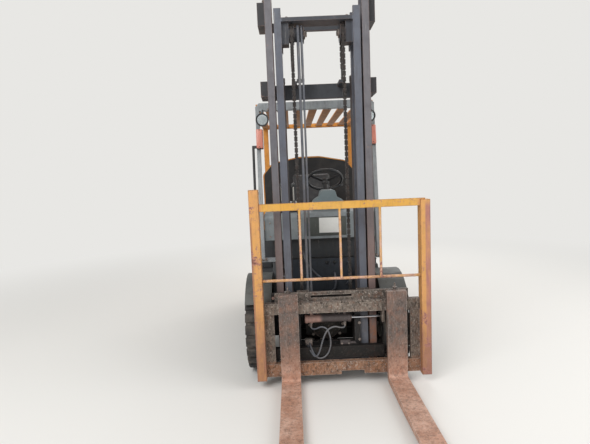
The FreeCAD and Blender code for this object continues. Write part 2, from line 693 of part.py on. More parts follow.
def build_shroud():
    """Arched rear shroud between the guard's rear pillars, and its padded front."""
    half, top, low = S.shroud_width / 2, S.shroud_top, S.ballast_top

    def arch(inset):
        return [(-half + inset, low + inset), (-half + inset, top - 190, 60),
                (-half + 110 + inset * 0.6, top - 60 - inset * 0.7, 120),
                (-120, top - inset, 300), (120, top - inset, 300),
                (half - 110 - inset * 0.6, top - 60 - inset * 0.7, 120),
                (half - inset, top - 190, 60), (half - inset, low + inset)]

    body = new_piece("rear_shroud")
    pad(body, "XZ", S.shroud_front, S.shroud_front + S.shroud_depth, arch(0))
    inside = S.rear_pillar_outside - S.rear_pillar_width
    for side in (1, -1):
        cut(body, "XZ", S.guard_back - 60, S.guard_back,
            mirrored([(inside, 1500), (S.rear_pillar_outside, 1470),
                      (S.rear_pillar_outside, top + 40), (inside, top + 40)], side))
    face = new_piece("shroud_face")
    pad(face, "XZ", S.shroud_front - 12, S.shroud_front, arch(14))


def build_lamps():
    """Round headlamps under the guard's front beam and the indicators on its pillars."""
    place, height = 424, 1893
    beam = S.guard_top - S.guard_beam - height
    lamps = new_piece("headlamps", -place, S.guard_front - 85, height)
    bowl = revolve(lamps, "XY", "V", [(0, 0), (52, 0), (52, 18), (24, 62), (0, 62)])
    stem = pad(lamps, "XY", 44, beam, box(-9, 9, 22, 34))
    tab = pad(lamps, "XY", beam - 8, beam, box(-9, 9, 34, 130))
    row = repeat_along(lamps, bowl, "X", 2 * place, 2)
    row.Originals = [bowl, stem, tab]

    half = S.guard_width / 2
    low, high = 1660, 1826
    rise = S.guard_top - S.guard_beam - S.deck_height - 14
    lean = (S.guard_front - S.pillar_foot) / rise

    def pillar_face(height):
        return S.pillar_foot + (height - S.deck_height - 14) * lean

    blinkers = new_piece("indicators")
    outline = [(pillar_face(low), low), (pillar_face(low) - 40, low),
               (pillar_face(low) - 50, low + 12), (pillar_face(high) - 50, high - 12),
               (pillar_face(high) - 40, high), (pillar_face(high), high)]
    for low_x, high_x in ((half - 55, half), (-half, -half + 55)):
        pad(blinkers, "YZ", low_x, high_x, outline)


def build_drive_axle():
    """Drive axle housing with its differential bulge, flanges and hub spindles."""
    body = new_piece("drive_axle", 0, 0, S.front_tyre_radius)
    tube, spindle = S.axle_radius, S.spindle_radius
    reach = S.front_track / 2 + 50
    flange = PLATE_OUT + 6
    pad(body, "YZ", -flange, flange, (0, 0, tube))
    pad(body, "YZ", -reach, -flange, (0, 0, spindle))
    pad(body, "YZ", flange, reach, (0, 0, spindle))
    pad(body, "XZ", -138, 138, [(-80, -140), (-150, -70), (-150, 70), (-80, 140), (80, 140),
                                (150, 70), (150, -70), (80, -140)])
    for side in (1, -1):
        cut(body, "YZ", -160, 160, [(side * 60, 150), (side * 150, 150), (side * 150, 60)],
            [(side * 60, -150), (side * 150, -60), (side * 150, -150)])


def lug_outline(radius, start):
    """One lug seen from the side, from inside the tyre's body out to its flat top."""
    core = radius - S.lug_depth - 8
    pitch = 2 * math.pi / S.lug_count.value
    return [(reach * math.cos((start + share) * pitch), reach * math.sin((start + share) * pitch))
            for share, reach in ((0.1, core), (0.16, radius), (0.84, radius), (0.9, core))]


def build_wheel(label, x, y, radius, width, bead, hub_bore, side, driven):
    """Tyre on a dished rim that turns about x; a driven wheel has lugs and a brake drum."""
    tyre = new_piece(f"{label}_tyre", x, y, radius)
    half = width / 2
    seat = facets(0, 0, bead + 0.2, 36)
    if driven:
        pad(tyre, "YZ", -half, half, facets(0, 0, radius - S.lug_depth, 36), seat)
        for lug_low, lug_high, start in ((-half, as_size(0), 0), (as_size(0), half, 0.5)):
            lug = pad(tyre, "YZ", lug_low, lug_high, lug_outline(radius, start))
            repeat_round(tyre, lug, "X", S.lug_count)
    else:
        pad(tyre, "YZ", -half, half, facets(0, 0, radius - 26, 36), seat)
        pad(tyre, "YZ", -half + 14, half - 14, facets(0, 0, radius, 36), seat)

    rim = new_piece(f"{label}_rim", x, y, radius)
    face, dish = half - 12, half * 0.35

    def span(low, high):
        return (low, high) if side > 0 else (-as_size(high), -as_size(low))

    bore = (0, 0, hub_bore)
    web = -half + 12 if driven else dish - 20
    pad(rim, "YZ", *span(web, dish), facets(0, 0, bead, 36), bore)
    pad(rim, "YZ", *span(dish, face), facets(0, 0, bead, 36), facets(0, 0, bead - 14, 36))
    if not driven:
        pad(rim, "YZ", *span(-half + 12, web), facets(0, 0, bead, 36),
            facets(0, 0, bead - 12, 36))


def build_drive_wheels():
    """Drive wheels on the axle's spindles."""
    for side, name in SIDES:
        build_wheel(f"drive_{name}", side * S.front_track / 2, as_size(0), S.front_tyre_radius,
                    S.front_tyre_width, S.front_rim_radius, S.spindle_radius + S.running_gap,
                    side, True)


def build_steer_axle():
    """Steer axle beam hung under the counterweight, its knuckles and steered wheels."""
    beam = new_piece("steer_axle", 0, S.wheel_base, S.rear_tyre_radius)
    end = S.king_pin_place
    pad(beam, "XZ", -45, 45, [(-end + 34, -30), (-end + 34, 30), (-160, 70), (160, 70),
                              (end - 34, 30), (end - 34, -30), (160, -50), (-160, -50)])
    pad(beam, "XZ", -30, 30, box(-end, -end + 34, -30, 30), box(end - 34, end, -30, 30))
    pad(beam, "XY", -30, 30, facets(-end, 0, 34, 12), facets(end, 0, 34, 12))
    pad(beam, "YZ", -60, 60, [(-70, 60), (-70, S.arch_radius), (70, S.arch_radius), (70, 60)])
    cut(beam, "YZ", -60, 60, (0, 0, S.arch_radius + 60), (0, 0, S.arch_radius - S.running_gap))
    cut(beam, "XY", -40, 40, (end, 0, 18 + S.running_gap), (-end, 0, 18 + S.running_gap))
    pad(beam, "XZ", 45, 95, box(-150, 150, -26, 26))
    for side, name in SIDES:
        knuckle = new_piece(f"knuckle_{name}", side * end, S.wheel_base, S.rear_tyre_radius)
        pad(knuckle, "XY", -62, 62, (0, 0, 18))
        reach = S.rear_track / 2 - end
        low, high = sorted((side * 37, side * 62))
        pad(knuckle, "YZ", low, high, box(-36, 36, -62, 62))
        for bottom, top in ((30.5, 62), (-62, -30.5)):
            pad(knuckle, "XY", bottom, top,
                mirrored([(-24, -14), (-24, 14), (0, 30), (40, 30), (40, -30), (0, -30)], side))
        stub_low, stub_high = (62, reach + 50) if side > 0 else (-reach - 50, -62)
        pad(knuckle, "YZ", stub_low, stub_high, (0, 0, 24))
        build_wheel(f"steer_{name}", side * S.rear_track / 2, S.wheel_base, S.rear_tyre_radius,
                    S.rear_tyre_width, S.rear_rim_radius, 24 + S.running_gap, side, False)


def rail_section(side, outer):
    """Cross-section of a mast rail: a channel outside, a beam with two channels inside."""
    front, back = RAIL_FRONT, RAIL_BACK
    flange, web = S.flange_thickness, S.web_thickness
    if outer:
        outline = [(OUTER_FACE, front), (OUTER_FACE, back), (OUTER_EDGE, back),
                   (OUTER_EDGE, back - flange), (OUTER_FACE - web, back - flange),
                   (OUTER_FACE - web, front + flange), (OUTER_EDGE, front + flange),
                   (OUTER_EDGE, front)]
    else:
        middle = (INNER_FACE + INNER_EDGE) / 2
        near, far = middle - web / 2, middle + web / 2
        outline = [(INNER_FACE, front), (INNER_FACE, front + flange), (far, front + flange),
                   (far, back - flange), (INNER_FACE, back - flange), (INNER_FACE, back),
                   (INNER_EDGE, back), (INNER_EDGE, back - flange), (near, back - flange),
                   (near, front + flange), (INNER_EDGE, front + flange), (INNER_EDGE, front)]
    return mirrored(outline, side)


def build_outer_mast():
    """Outer mast: channels, wrapped ties, axle bearings, tilt lugs and top rollers."""
    body = new_piece("outer_mast")
    pad(body, "XY", S.mast_bottom, S.mast_height, rail_section(1, True), rail_section(-1, True))
    half, back, thick = S.tie_width / 2, -S.tie_back, S.tie_thickness
    tie_front = back - thick
    for low, high, cheek_low, cheek_high in (
            (TIE_LOW, TIE_LOW + S.tie_height, TIE_LOW, TIE_LOW + S.tie_height),
            (HEAD_TIE - 25, HEAD_TIE + 35, HEAD_TIE - 30, HEAD_TIE + 120)):
        pad(body, "XY", low, high, box(-half, half, tie_front, back))
        pad(body, "XY", cheek_low, cheek_high, box(-half, -OUTER_FACE, RAIL_FRONT + 60, back),
            box(OUTER_FACE, half, RAIL_FRONT + 60, back))
    foot = S.mast_bottom
    pad(body, "XY", foot, foot + 22, box(-OUTER_EDGE, OUTER_EDGE, RAIL_BACK - 40, back - 20))
    centre = S.front_tyre_radius
    inner, outer = INNER_FACE + 14, OUTER_FACE
    for low, high in ((inner, outer), (-outer, -inner)):
        pad(body, "YZ", low, high, facets(0, centre, 110, 16))
        pad(body, "YZ", low, high,
            [(RAIL_BACK, centre - 150), (RAIL_BACK, centre + 150), (-40, centre + 95),
             (-40, centre - 95)])
    cut(body, "YZ", -OUTER_FACE, OUTER_FACE, (0, centre, S.axle_radius + S.running_gap))
    eye_y, eye_z = -S.tilt_eye_forward, S.tilt_eye_height
    lug = [(RAIL_BACK, eye_z - 50), (RAIL_BACK, eye_z + 50), (eye_y + 10, eye_z + 22),
           (eye_y + 22, eye_z + 10), (eye_y + 22, eye_z - 10), (eye_y + 10, eye_z - 22)]
    for side in (1, -1):
        place = side * S.tilt_place
        for near, far in ((17, 27), (-25, -17)) if side > 0 else ((17, 25), (-27, -17)):
            pad(body, "YZ", place + near, place + far, lug)
        pad(body, "YZ", place - 19, place + 19, (eye_y, eye_z, 10))
    shelf = TIE_LOW + S.tie_height
    for side in (1, -1):
        low, high = sorted((side * 145.0, side * 181.0))
        pad(body, "XY", shelf - 22, shelf, box(low, high, -200, tie_front))


def build_lift_cylinders():
    """Twin lift cylinders: barrels that stand on the outer mast and rods that push the inner."""
    barrels = new_piece("lift_barrels")
    foot = S.mast_bottom + 22
    place, y = S.barrel_place, -S.barrel_forward
    bore = S.rod_radius + S.running_gap
    radius = S.barrel_radius
    pad(barrels, "XY", foot, BARREL_TOP + 30, (place, y, radius), (-place, y, radius))
    cut(barrels, "XY", foot + 30, BARREL_TOP + 30, (place, y, bore), (-place, y, bore))
    rods = new_piece("lift_rods")
    low, high = foot + 40, HEAD_TIE - 180
    pad(rods, "XY", low, high, (place, y, S.rod_radius), (-place, y, S.rod_radius))


def build_inner_mast():
    """Inner mast: beams, top and bottom ties, rod brackets, and the chain sheaves."""
    body = new_piece("inner_mast")
    pad(body, "XY", S.inner_bottom, INNER_TOP, rail_section(1, False), rail_section(-1, False))
    top = HEAD_TIE
    reach = INNER_EDGE + 6
    web_near = (INNER_FACE + INNER_EDGE) / 2 - S.web_thickness / 2
    pad(body, "XY", top - 25, top, box(-reach, reach, RAIL_FRONT, RAIL_FRONT + 130))
    low = S.inner_bottom + 20
    pad(body, "XY", low, low + 100, box(-INNER_EDGE, INNER_EDGE, -175, -145))
    place, y = S.barrel_place, -S.barrel_forward
    for side in (1, -1):
        edge_low, edge_high = sorted(((side * (place - 24)).value, (side * (place + 28)).value))
        pad(body, "XY", top - 180, top - 140, box(edge_low, edge_high, RAIL_BACK, y + 22))
        bracket_low, bracket_high = sorted((side * (S.chain_place + 18).value,
                                            side * (web_near + 2).value))
        sheave_y = -S.sheave_forward
        pad(body, "XY", SHEAVE - 70, top - 25,
            box(bracket_low, bracket_high, sheave_y - 45, sheave_y + 45))
        pin_low, pin_high = sorted((side * (S.chain_place - 14).value,
                                    side * (S.chain_place + 18).value))
        pad(body, "YZ", pin_low, pin_high, (sheave_y, SHEAVE, S.sheave_radius))
        flange_low, flange_high = sorted((side * (S.chain_place - 17).value,
                                          side * (S.chain_place - 14).value))
        pad(body, "YZ", flange_low, flange_high,
            facets(sheave_y, SHEAVE, S.sheave_radius + 14, 20))
    hose_in = -S.chain_place + 17
    pad(body, "YZ", hose_in, -92, facets(sheave_y, SHEAVE, S.hose_sheave_radius, 20))
    pad(body, "YZ", -92, -88, facets(sheave_y, SHEAVE, S.hose_sheave_radius + 12, 20))


def build_chains():
    """Leaf chains and hoses: hanging falls, the chains' wraps and their anchored rear falls."""
    half, thick = S.chain_width / 2, S.chain_thickness
    radius = S.sheave_radius + S.running_gap
    front = -S.sheave_forward - radius - thick
    falls = new_piece("lift_chains")
    low = 600
    for side in (1, -1):
        place = side * S.chain_place
        pad(falls, "XY", low, SHEAVE, box(place - half, place + half, front, front + thick))
    hoses = new_piece("lift_hoses")
    for place, hose in ((-128, 9), (-104, 7)):
        pad(hoses, "XY", CARRIAGE_HIGH - 15, SHEAVE,
            (place, -S.sheave_forward - S.hose_sheave_radius - hose - S.running_gap, hose))
    wraps = new_piece("chain_wraps", 0, -S.sheave_forward, SHEAVE)
    links = 10
    turns = [math.pi * n / links for n in range(links + 1)]
    inside = (radius + 0.1) / math.cos(math.pi / links / 2)
    bend = [((inside + thick) * math.cos(a), (inside + thick) * math.sin(a) + 0.3) for a in turns]
    bend += [(inside * math.cos(a), inside * math.sin(a) + 0.3) for a in turns[::-1]]
    for side in (1, -1):
        place = side * S.chain_place
        pad(wraps, "YZ", place - half + 0.3, place + half - 0.3, bend)
    anchors = new_piece("chain_anchors")
    back = -S.sheave_forward + radius
    shelf = TIE_LOW + S.tie_height
    for side in (1, -1):
        place = side * S.chain_place
        pad(anchors, "XY", shelf + 90, SHEAVE - 5,
            box(place - half, place + half, back, back + thick))
        pad(anchors, "XY", shelf, shelf + 90, facets(place, back + thick / 2, 7, 8))


def build_carriage():
    """Lift carriage: roller plates inside the mast, two slide bars, chain lugs and rollers."""
    body = new_piece("lift_carriage")
    bar_front = FRAME_BACK + 5
    bar_back = bar_front + 40
    inner, outer = INNER_EDGE - 48, INNER_EDGE - 25
    low, high = CARRIAGE_LOW, CARRIAGE_HIGH
    bar_height = 80
    plate = [(bar_back, low + 10), (bar_back, low + bar_height),
             (bar_back + 12, low + bar_height + 12), (bar_back + 12, high - bar_height - 12),
             (bar_back, high - bar_height), (bar_back, high - 20), (RAIL_BACK - 60, high - 20),
             (RAIL_BACK - 35, high - 45), (RAIL_BACK - 35, low + 90), (bar_back + 60, low + 10)]
    for near, far in ((inner, outer), (-outer, -inner)):
        pad(body, "YZ", near, far, plate)
    for bottom, top in ((low, low + bar_height), (high - bar_height, high)):
        pad(body, "XZ", bar_front, bar_back, box(-385, 385, bottom, top))
    chain_front = -S.sheave_forward - S.sheave_radius - S.chain_thickness
    for side in (1, -1):
        near, far = sorted((side * (S.chain_place - 17).value, side * (S.chain_place + 17).value))
        pad(body, "XY", high - 78, high - 42, box(near, far, bar_back, chain_front + 24))
    pad(body, "XY", high - 40, high - 15,
        box(-140, -92, bar_back, -S.sheave_forward - S.hose_sheave_radius + 6))
    middle = (RAIL_FRONT + RAIL_BACK) / 2
    radius = S.rail_depth / 2 - S.flange_thickness - S.running_gap
    web_face = (INNER_FACE + INNER_EDGE) / 2 - S.web_thickness / 2
    for side in (1, -1):
        for height in (low + 140, high - 85):
            near, far = sorted((side * outer.value, side * (web_face - 3).value))
            pad(body, "YZ", near, far, facets(middle, height, radius, 20))


def build_side_shift():
    """Side-shift cylinder on the carriage and its rod on the fork frame."""
    barrel = new_piece("shift_barrel")
    y, z = FRAME_BACK + 25, 450
    pad(barrel, "YZ", -160, 160, facets(y, z, 27, 20))
    for place in (-120, 110):
        pad(barrel, "YZ", place, place + 14, [(y + 20, z - 30), (y + 20, z + 110),
                                             (y - 10, z + 110), (y - 10, z - 30)])
    cut(barrel, "YZ", -150, 160, (y, z, 9))
    return y, z


def build_fork_frame(shift_y, shift_z):
    """Side-shifting fork frame: two fork bars, end plates, hook plate and the shift rod."""
    body = new_piece("fork_frame", S.side_shift)
    half = S.bar_width / 2
    front, back = FRAME_FACE, FRAME_BACK
    low, high = S.upper_bar_low, S.upper_bar_low + S.upper_bar_height
    bottom, lower_top = S.lower_bar_low, S.lower_bar_low + S.lower_bar_height
    pad(body, "XZ", front, back, box(-half, half, low, high))
    pad(body, "XZ", front, back, box(-half, half, bottom, lower_top))
    pad(body, "XZ", front + 10, back, box(-half, -half + 65, lower_top, low),
        box(half - 65, half, lower_top, low))
    pad(body, "XZ", front + 20, back, box(-455, 455, high, high + 66))
    cut(body, "XZ", front + 20, back, box(-210, 70, high + 26, high + 44))
    bar_rise = 640 - high + S.running_gap
    pad(body, "YZ", -300, -220, box(back, back + 45, high + bar_rise, high + 66))
    pad(body, "YZ", 110, 190, box(back, back + 45, high + bar_rise, high + 66))
    for number in range(7):
        place = -half + 110 + 140 * number
        cut(body, "XZ", front, front + 19, box(place - 8, place + 8, high - 14, high))
    cut(body, "XZ", front, back, box(-15, 142, bottom, bottom + 24))
    rod_in, rod_out = 130 - S.side_shift, 370 - S.side_shift
    pad(body, "YZ", rod_in, rod_out, (shift_y, shift_z, 8))
    pad(body, "YZ", rod_out, rod_out + 16,
        [(back, shift_z - 30), (back, shift_z + 60), (shift_y + 16, shift_z + 20),
         (shift_y + 16, shift_z - 20)])
    pad(body, "XZ", back - 16, back, box(rod_out, rod_out + 16, shift_z - 30, low))


def build_backrest():
    """Load backrest: two posts, flat top bar, thin rung and three thin uprights."""
    body = new_piece("load_backrest", S.side_shift)
    half = S.rest_width / 2
    inside = S.bar_width / 2
    front = -S.fork_face
    back = front + S.rest_post_depth
    pad(body, "XZ", front, back, box(-half, -inside, 62, S.rest_post_top))
    pad(body, "XZ", front, back, box(inside, half, 62, S.rest_top - 10))
    pad(body, "XZ", front + 10, front + 25, box(-half + 30, half - 30, S.rest_top - 50, S.rest_top))
    pad(body, "YZ", -inside, inside, facets(front + 20, 750, 9.5, 8))
    for place in (-265, 0, 265):
        pad(body, "XZ", front + 10, front + 18, box(place - 8, place + 8, 750, S.rest_top - 50))


def build_forks():
    """Hook-on forks with tapered blades and a rounded heel."""
    front = -S.fork_face
    bottom, thick = S.fork_clear, S.fork_thickness
    tip = front - S.fork_length
    back = front + thick
    bar_top = S.upper_bar_low + S.upper_bar_height
    profile = [(tip, bottom + thick - 12), (tip, bottom + thick), (front, bottom + thick, 18),
               (front, S.shank_top), (back, S.shank_top), (back, bottom, 50),
               (front - 300, bottom)]
    for side, name in SIDES:
        body = new_piece(f"fork_{name}", S.side_shift + side * S.fork_spread / 2)
        half = S.fork_width / 2
        pad(body, "YZ", -half, half, profile)
        pad(body, "YZ", -half + 10, half - 10,
            [(back, bar_top + 0.3), (back + 18, bar_top + 0.3), (back + 18, bar_top + 30),
             (back, bar_top + 50)])
        pad(body, "YZ", -half + 20, half - 20,
            [(back, 44), (back, S.lower_bar_low - 0.3), (back + 36, S.lower_bar_low - 0.3),
             (back + 36, 52)])


def build_tilt_cylinders():
    """Tilt cylinders: barrels pinned to the chassis and rods whose eyes hold the mast's pins."""
    run = S.tilt_eye_forward + S.tilt_pin_back
    rise = S.tilt_eye_height - S.tilt_pin_height
    length = root(run * run + rise * rise)
    turn = slope(run, rise)
    for side, name in SIDES:
        place = side * S.tilt_place
        barrel = new_piece(f"tilt_barrel_{name}", place, S.tilt_pin_back, S.tilt_pin_height, turn)
        pad(barrel, "YZ", -16.7, 16.7,
            [(-23, 42), (-23, -10), (-12, -22), (12, -22), (23, -10), (23, 42)])
        pad(barrel, "XY", 40, 385, facets(0, 0, 31.5, 20))
        cut(barrel, "YZ", -17, 17, (0, 0, 14 + S.running_gap))
        cut(barrel, "XY", 60, 385, (0, 0, 18))
        rod = new_piece(f"tilt_rod_{name}", place, S.tilt_pin_back, S.tilt_pin_height, turn)
        pad(rod, "XY", 250, length - 15, (0, 0, 15))
        pad(rod, "YZ", -16.7, 16.7,
            [(-20, length - 16), (-20, length + 10), (-10, length + 20), (10, length + 20),
             (20, length + 10), (20, length - 16)])
        cut(rod, "YZ", -17, 17, (0, length, 12))


def build_hinge():
    """Hood hinge knuckles on the counterweight's front edge."""
    body = new_piece("hood_hinge")
    y, z = S.hood_back - 4, S.hood_top + 15
    face = S.hood_back + 8
    for low, pin_low in ((-300, -300), (258, 198)):
        pad(body, "YZ", low, low + 42, facets(y, z, 10, 10))
        pad(body, "YZ", low, low + 42, [(y, z - 9), (face, z - 22), (face, z + 22), (y, z + 9)])
        pad(body, "YZ", pin_low, pin_low + 102, (y, z, 5))


build_chassis()
build_floor()
build_cowl()
column_lean = build_column()
build_wheel_ring(column_lean)
build_controls()
build_fenders()
build_engine()
build_hood()
build_hinge()
build_counterweight()
build_guard()
build_shroud()
build_lamps()
build_drive_axle()
build_drive_wheels()
build_steer_axle()
build_outer_mast()
build_lift_cylinders()
build_inner_mast()
build_chains()
build_carriage()
shift_line = build_side_shift()
build_fork_frame(*shift_line)
build_backrest()
build_forks()
build_tilt_cylinders()

doc.recompute()
for item in doc.Objects:
    if "Invalid" in item.State or "Error" in item.State:
        raise RuntimeError(f"{item.Label} failed: {item.State}")
broken = [p.Label for p in pieces if p.Shape.isNull() or not p.Shape.isValid()]
if broken:
    raise RuntimeError(f"no valid shape: {broken}")

os.makedirs("parts", exist_ok=True)
for piece in pieces:
    piece.Shape.exportStep(f"parts/{piece.Label}.step")
print(len(pieces), "pieces written")
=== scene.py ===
"""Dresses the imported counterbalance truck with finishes, chains, hoses, lamps, tyres and a seat."""
import logging
import math
from dataclasses import dataclass, field
from enum import Enum
from typing import Callable, Iterable, Sequence

import bmesh
import bpy
from mathutils import Matrix, Vector


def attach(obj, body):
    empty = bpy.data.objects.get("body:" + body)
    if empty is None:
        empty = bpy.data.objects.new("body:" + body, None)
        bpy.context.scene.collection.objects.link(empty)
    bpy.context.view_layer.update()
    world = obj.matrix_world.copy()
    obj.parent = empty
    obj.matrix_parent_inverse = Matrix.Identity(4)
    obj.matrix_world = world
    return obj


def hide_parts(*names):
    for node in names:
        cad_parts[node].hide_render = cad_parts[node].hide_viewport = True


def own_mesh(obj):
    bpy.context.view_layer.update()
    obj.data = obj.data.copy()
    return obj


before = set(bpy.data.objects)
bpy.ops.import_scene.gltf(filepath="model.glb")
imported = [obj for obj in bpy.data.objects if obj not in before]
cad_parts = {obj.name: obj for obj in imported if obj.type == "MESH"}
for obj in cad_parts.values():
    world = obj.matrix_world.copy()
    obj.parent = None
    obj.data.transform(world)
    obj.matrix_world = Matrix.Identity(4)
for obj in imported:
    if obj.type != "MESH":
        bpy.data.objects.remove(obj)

logging.basicConfig(level=logging.INFO, format="%(message)s")
LOG = logging.getLogger("truck")
Socket = bpy.types.NodeSocket
Shape = bmesh.types.BMesh
Rgb = tuple[int, int, int]
QUARTER = math.pi / 2
FULL = 2 * math.pi


def spot(x: float, y: float, z: float) -> Vector:
    """A point given in millimetres from the front axle's middle on the floor, in the row's frame.

    Args:
        x: millimetres to the driver's left.
        y: millimetres behind the front axle.
        z: millimetres above the floor.

    Returns:
        The point in metres.
    """
    return Vector(((x - 54.0) / 1000, (y - 265.0) / 1000, z / 1000))


def tint(red: int, green: int, blue: int) -> tuple[float, float, float, float]:
    """A colour as it looks on a screen, turned into the light values that a shader takes.

    Args:
        red: 0 to 255.
        green: 0 to 255.
        blue: 0 to 255.

    Returns:
        Linear red, green, blue and 1.
    """
    def linear(part: int) -> float:
        """One channel."""
        share = part / 255
        return share / 12.92 if share <= 0.04045 else ((share + 0.055) / 1.055) ** 2.4

    return linear(red), linear(green), linear(blue), 1.0


class Body(Enum):
    """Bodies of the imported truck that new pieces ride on."""

    TRUCK = "truck"
    HOOD = "hood_lid"
    STEERING = "steering"
    DRIVE_LEFT = "drive_wheel_left"
    DRIVE_RIGHT = "drive_wheel_right"
    STEER_LEFT = "steer_wheel_left"
    STEER_RIGHT = "steer_wheel_right"
    MAST = "mast"
    STAGE = "mast_stage"
    CARRIAGE = "carriage"
    SHIFTER = "side_shifter"
    TILT_BARREL_LEFT = "tilt_barrel_left"
    TILT_BARREL_RIGHT = "tilt_barrel_right"
    TILT_ROD_LEFT = "tilt_rod_left"
    TILT_ROD_RIGHT = "tilt_rod_right"


class Facing(Enum):
    """Way that a bolt's head, or a tube's far end, points."""

    FRONT = ("X", 1)
    BACK = ("X", -1)
    LEFT = ("Y", 1)
    RIGHT = ("Y", -1)
    UP = ("Z", 0)
    DOWN = ("X", 2)

    def turn(self) -> Matrix:
        """The turn that brings the z axis to this way."""
        axis, quarters = self.value
        return Matrix.Rotation(quarters * QUARTER, 4, axis)


class Graph:
    """Shader nodes of one finish, with short calls for the nodes that every finish uses."""

    def __init__(self, name: str) -> None:
        """Start an empty finish.

        Args:
            name: the material's name.
        """
        self.material = bpy.data.materials.new(name)
        self.material.use_nodes = True
        self.tree = self.material.node_tree
        self.tree.nodes.clear()
        self.shader = self.tree.nodes.new("ShaderNodeBsdfPrincipled")
        output = self.tree.nodes.new("ShaderNodeOutputMaterial")
        self.surface = output.inputs["Surface"]
        self.tree.links.new(self.shader.outputs["BSDF"], self.surface)
        self.place = self.tree.nodes.new("ShaderNodeTexCoord").outputs["Object"]

    def node(self, kind: str, inputs: dict[str | int, object], **options: object):
        """Add a node.

        Args:
            kind: the node's type.
            inputs: socket name or number to a value or to another node's output.
            **options: the node's own settings.

        Returns:
            The new node.
        """
        made = self.tree.nodes.new(kind)
        for name, value in options.items():
            setattr(made, name, value)
        for name, value in inputs.items():
            if isinstance(value, bpy.types.NodeSocket):
                self.tree.links.new(value, made.inputs[name])
            else:
                made.inputs[name].default_value = value
        return made

    def noise(self, scale: float, detail: float = 5.0,
              stretch: tuple[float, float, float] = (1, 1, 1),
              shift: tuple[float, float, float] = (0, 0, 0),
              turn: tuple[float, float, float] = (0, 0, 0), rough: float = 0.62) -> Socket:
        """Cloudy pattern from 0 to 1.

        Args:
            scale: clouds to a metre.
            detail: octaves.
            stretch: scale along each axis.
            shift: moves the pattern, so that two uses differ.
            turn: turns the pattern, in radians.
            rough: how strong the finer octaves are.

        Returns:
            The pattern's value.
        """
        place = self.node("ShaderNodeMapping", {"Vector": self.place, "Scale": stretch,
                                                "Location": shift, "Rotation": turn})
        cloud = self.node("ShaderNodeTexNoise", {"Vector": place.outputs[0], "Scale": scale,
                                                 "Detail": detail, "Roughness": rough})
        return cloud.outputs["Fac"]

    def along(self, axis: str, low: float, high: float, centre: float | None = None) -> Socket:
        """Smooth step along an axis, in the truck's millimetres.

        Args:
            axis: X, Y or Z.
            low: where it is 0.
            high: where it is 1.
            centre: where given, low and high are distances from this place.

        Returns:
            The share.
        """
        start = {"X": 54.0, "Y": 265.0, "Z": 0.0}[axis]
        value = self.node("ShaderNodeSeparateXYZ", {0: self.place}).outputs[axis]
        if centre is None:
            return self.step(value, (low - start) / 1000, (high - start) / 1000)
        gap = self.math("ABSOLUTE", self.math("SUBTRACT", value, (centre - start) / 1000), 0.0)
        return self.step(gap, low / 1000, high / 1000)

    def tone(self, color: Socket, tones: Sequence["Tone"]) -> Socket:
        """Lay broad tones over a colour, each in its own part of the piece; a tone marked under goes
        only on faces that look down, as painted shade.
        """
        for tone in tones:
            share = self.step(self.noise(tone.size, 7, tone.stretch, (tone.size, 2.0, 5.0)),
                              0.5 - tone.soft, 0.5 + tone.soft)
            share = self.span(share, tone.share * tone.least, tone.share)
            for axis, low, high, centre in tone.masks:
                share = self.math("MULTIPLY", share, self.along(axis, low, high, centre))
            # A tone marked under darkens only faces that look down: painted shade under a thing.
            if tone.under:
                normal = self.node("ShaderNodeNewGeometry", {}).outputs["Normal"]
                down = self.node("ShaderNodeSeparateXYZ", {0: normal}).outputs["Z"]
                share = self.math("MULTIPLY", share, self.step(down, -0.2, -0.7))
            color = self.mix(share, color, tint(*tone.color))
        return color

    def step(self, value: Socket, low: float, high: float) -> Socket:
        """Smooth step from 0 at low to 1 at high."""
        ramp = self.node("ShaderNodeMapRange", {"Value": value, "From Min": low,
                                                "From Max": high},
                         interpolation_type="SMOOTHSTEP")
        return ramp.outputs["Result"]

    def span(self, value: Socket, low: float, high: float) -> Socket:
        """A value from 0 to 1 spread over a range."""
        return self.node("ShaderNodeMapRange",
                         {"Value": value, "To Min": low, "To Max": high}).outputs["Result"]

    def math(self, operation: str, first: object, second: object) -> Socket:
        """One sum of two values."""
        return self.node("ShaderNodeMath", {0: first, 1: second},
                         operation=operation).outputs[0]

    def mix(self, share: object, first: object, second: object) -> Socket:
        """Blend of two colours."""
        made = self.node("ShaderNodeMix", {0: share, 6: first, 7: second}, data_type="RGBA")
        return made.outputs[2]

    def height(self) -> Socket:
        """How high a place is, in metres."""
        return self.node("ShaderNodeSeparateXYZ", {0: self.place}).outputs["Z"]

    def near(self, centre: Vector, reach: float) -> Socket:
        """How near a place is to a point, 1 at the point and 0 from reach on.

        Args:
            centre: the point.
            reach: in metres.

        Returns:
            The share.
        """
        gap = self.node("ShaderNodeVectorMath", {0: self.place, 1: tuple(centre)},
                        operation="DISTANCE").outputs["Value"]
        return self.step(gap, reach, 0.0)

    def edges(self, radius: float) -> Socket:
        """How near a place is to an outside or inside edge, from 0 to about 1.

        Args:
            radius: how far from the edge it reaches, in metres.

        Returns:
            The edge's share.
        """
        rounded = self.node("ShaderNodeBevel", {"Radius": radius}, samples=4)
        plain = self.node("ShaderNodeNewGeometry", {})
        facing = self.node("ShaderNodeVectorMath", {0: rounded.outputs[0],
                                                    1: plain.outputs["Normal"]},
                           operation="DOT_PRODUCT")
        return self.step(facing.outputs["Value"], 0.995, 0.86)

    def bump(self, height: Socket, depth: float, strength: float = 0.6) -> None:
        """Raise the surface by a pattern.

        Args:
            height: the pattern.
            depth: its depth in metres.
            strength: the bump's share.
        """
        made = self.node("ShaderNodeBump", {"Height": height, "Distance": depth,
                                            "Strength": strength})
        self.tree.links.new(made.outputs[0], self.shader.inputs["Normal"])

    def set(self, **inputs: object) -> None:
        """Give the shader its inputs, with spaces written as underscores."""
        for name, value in inputs.items():
            socket = self.shader.inputs[name.replace("_", " ")]
            if isinstance(value, bpy.types.NodeSocket):
                self.tree.links.new(value, socket)
            else:
                socket.default_value = value


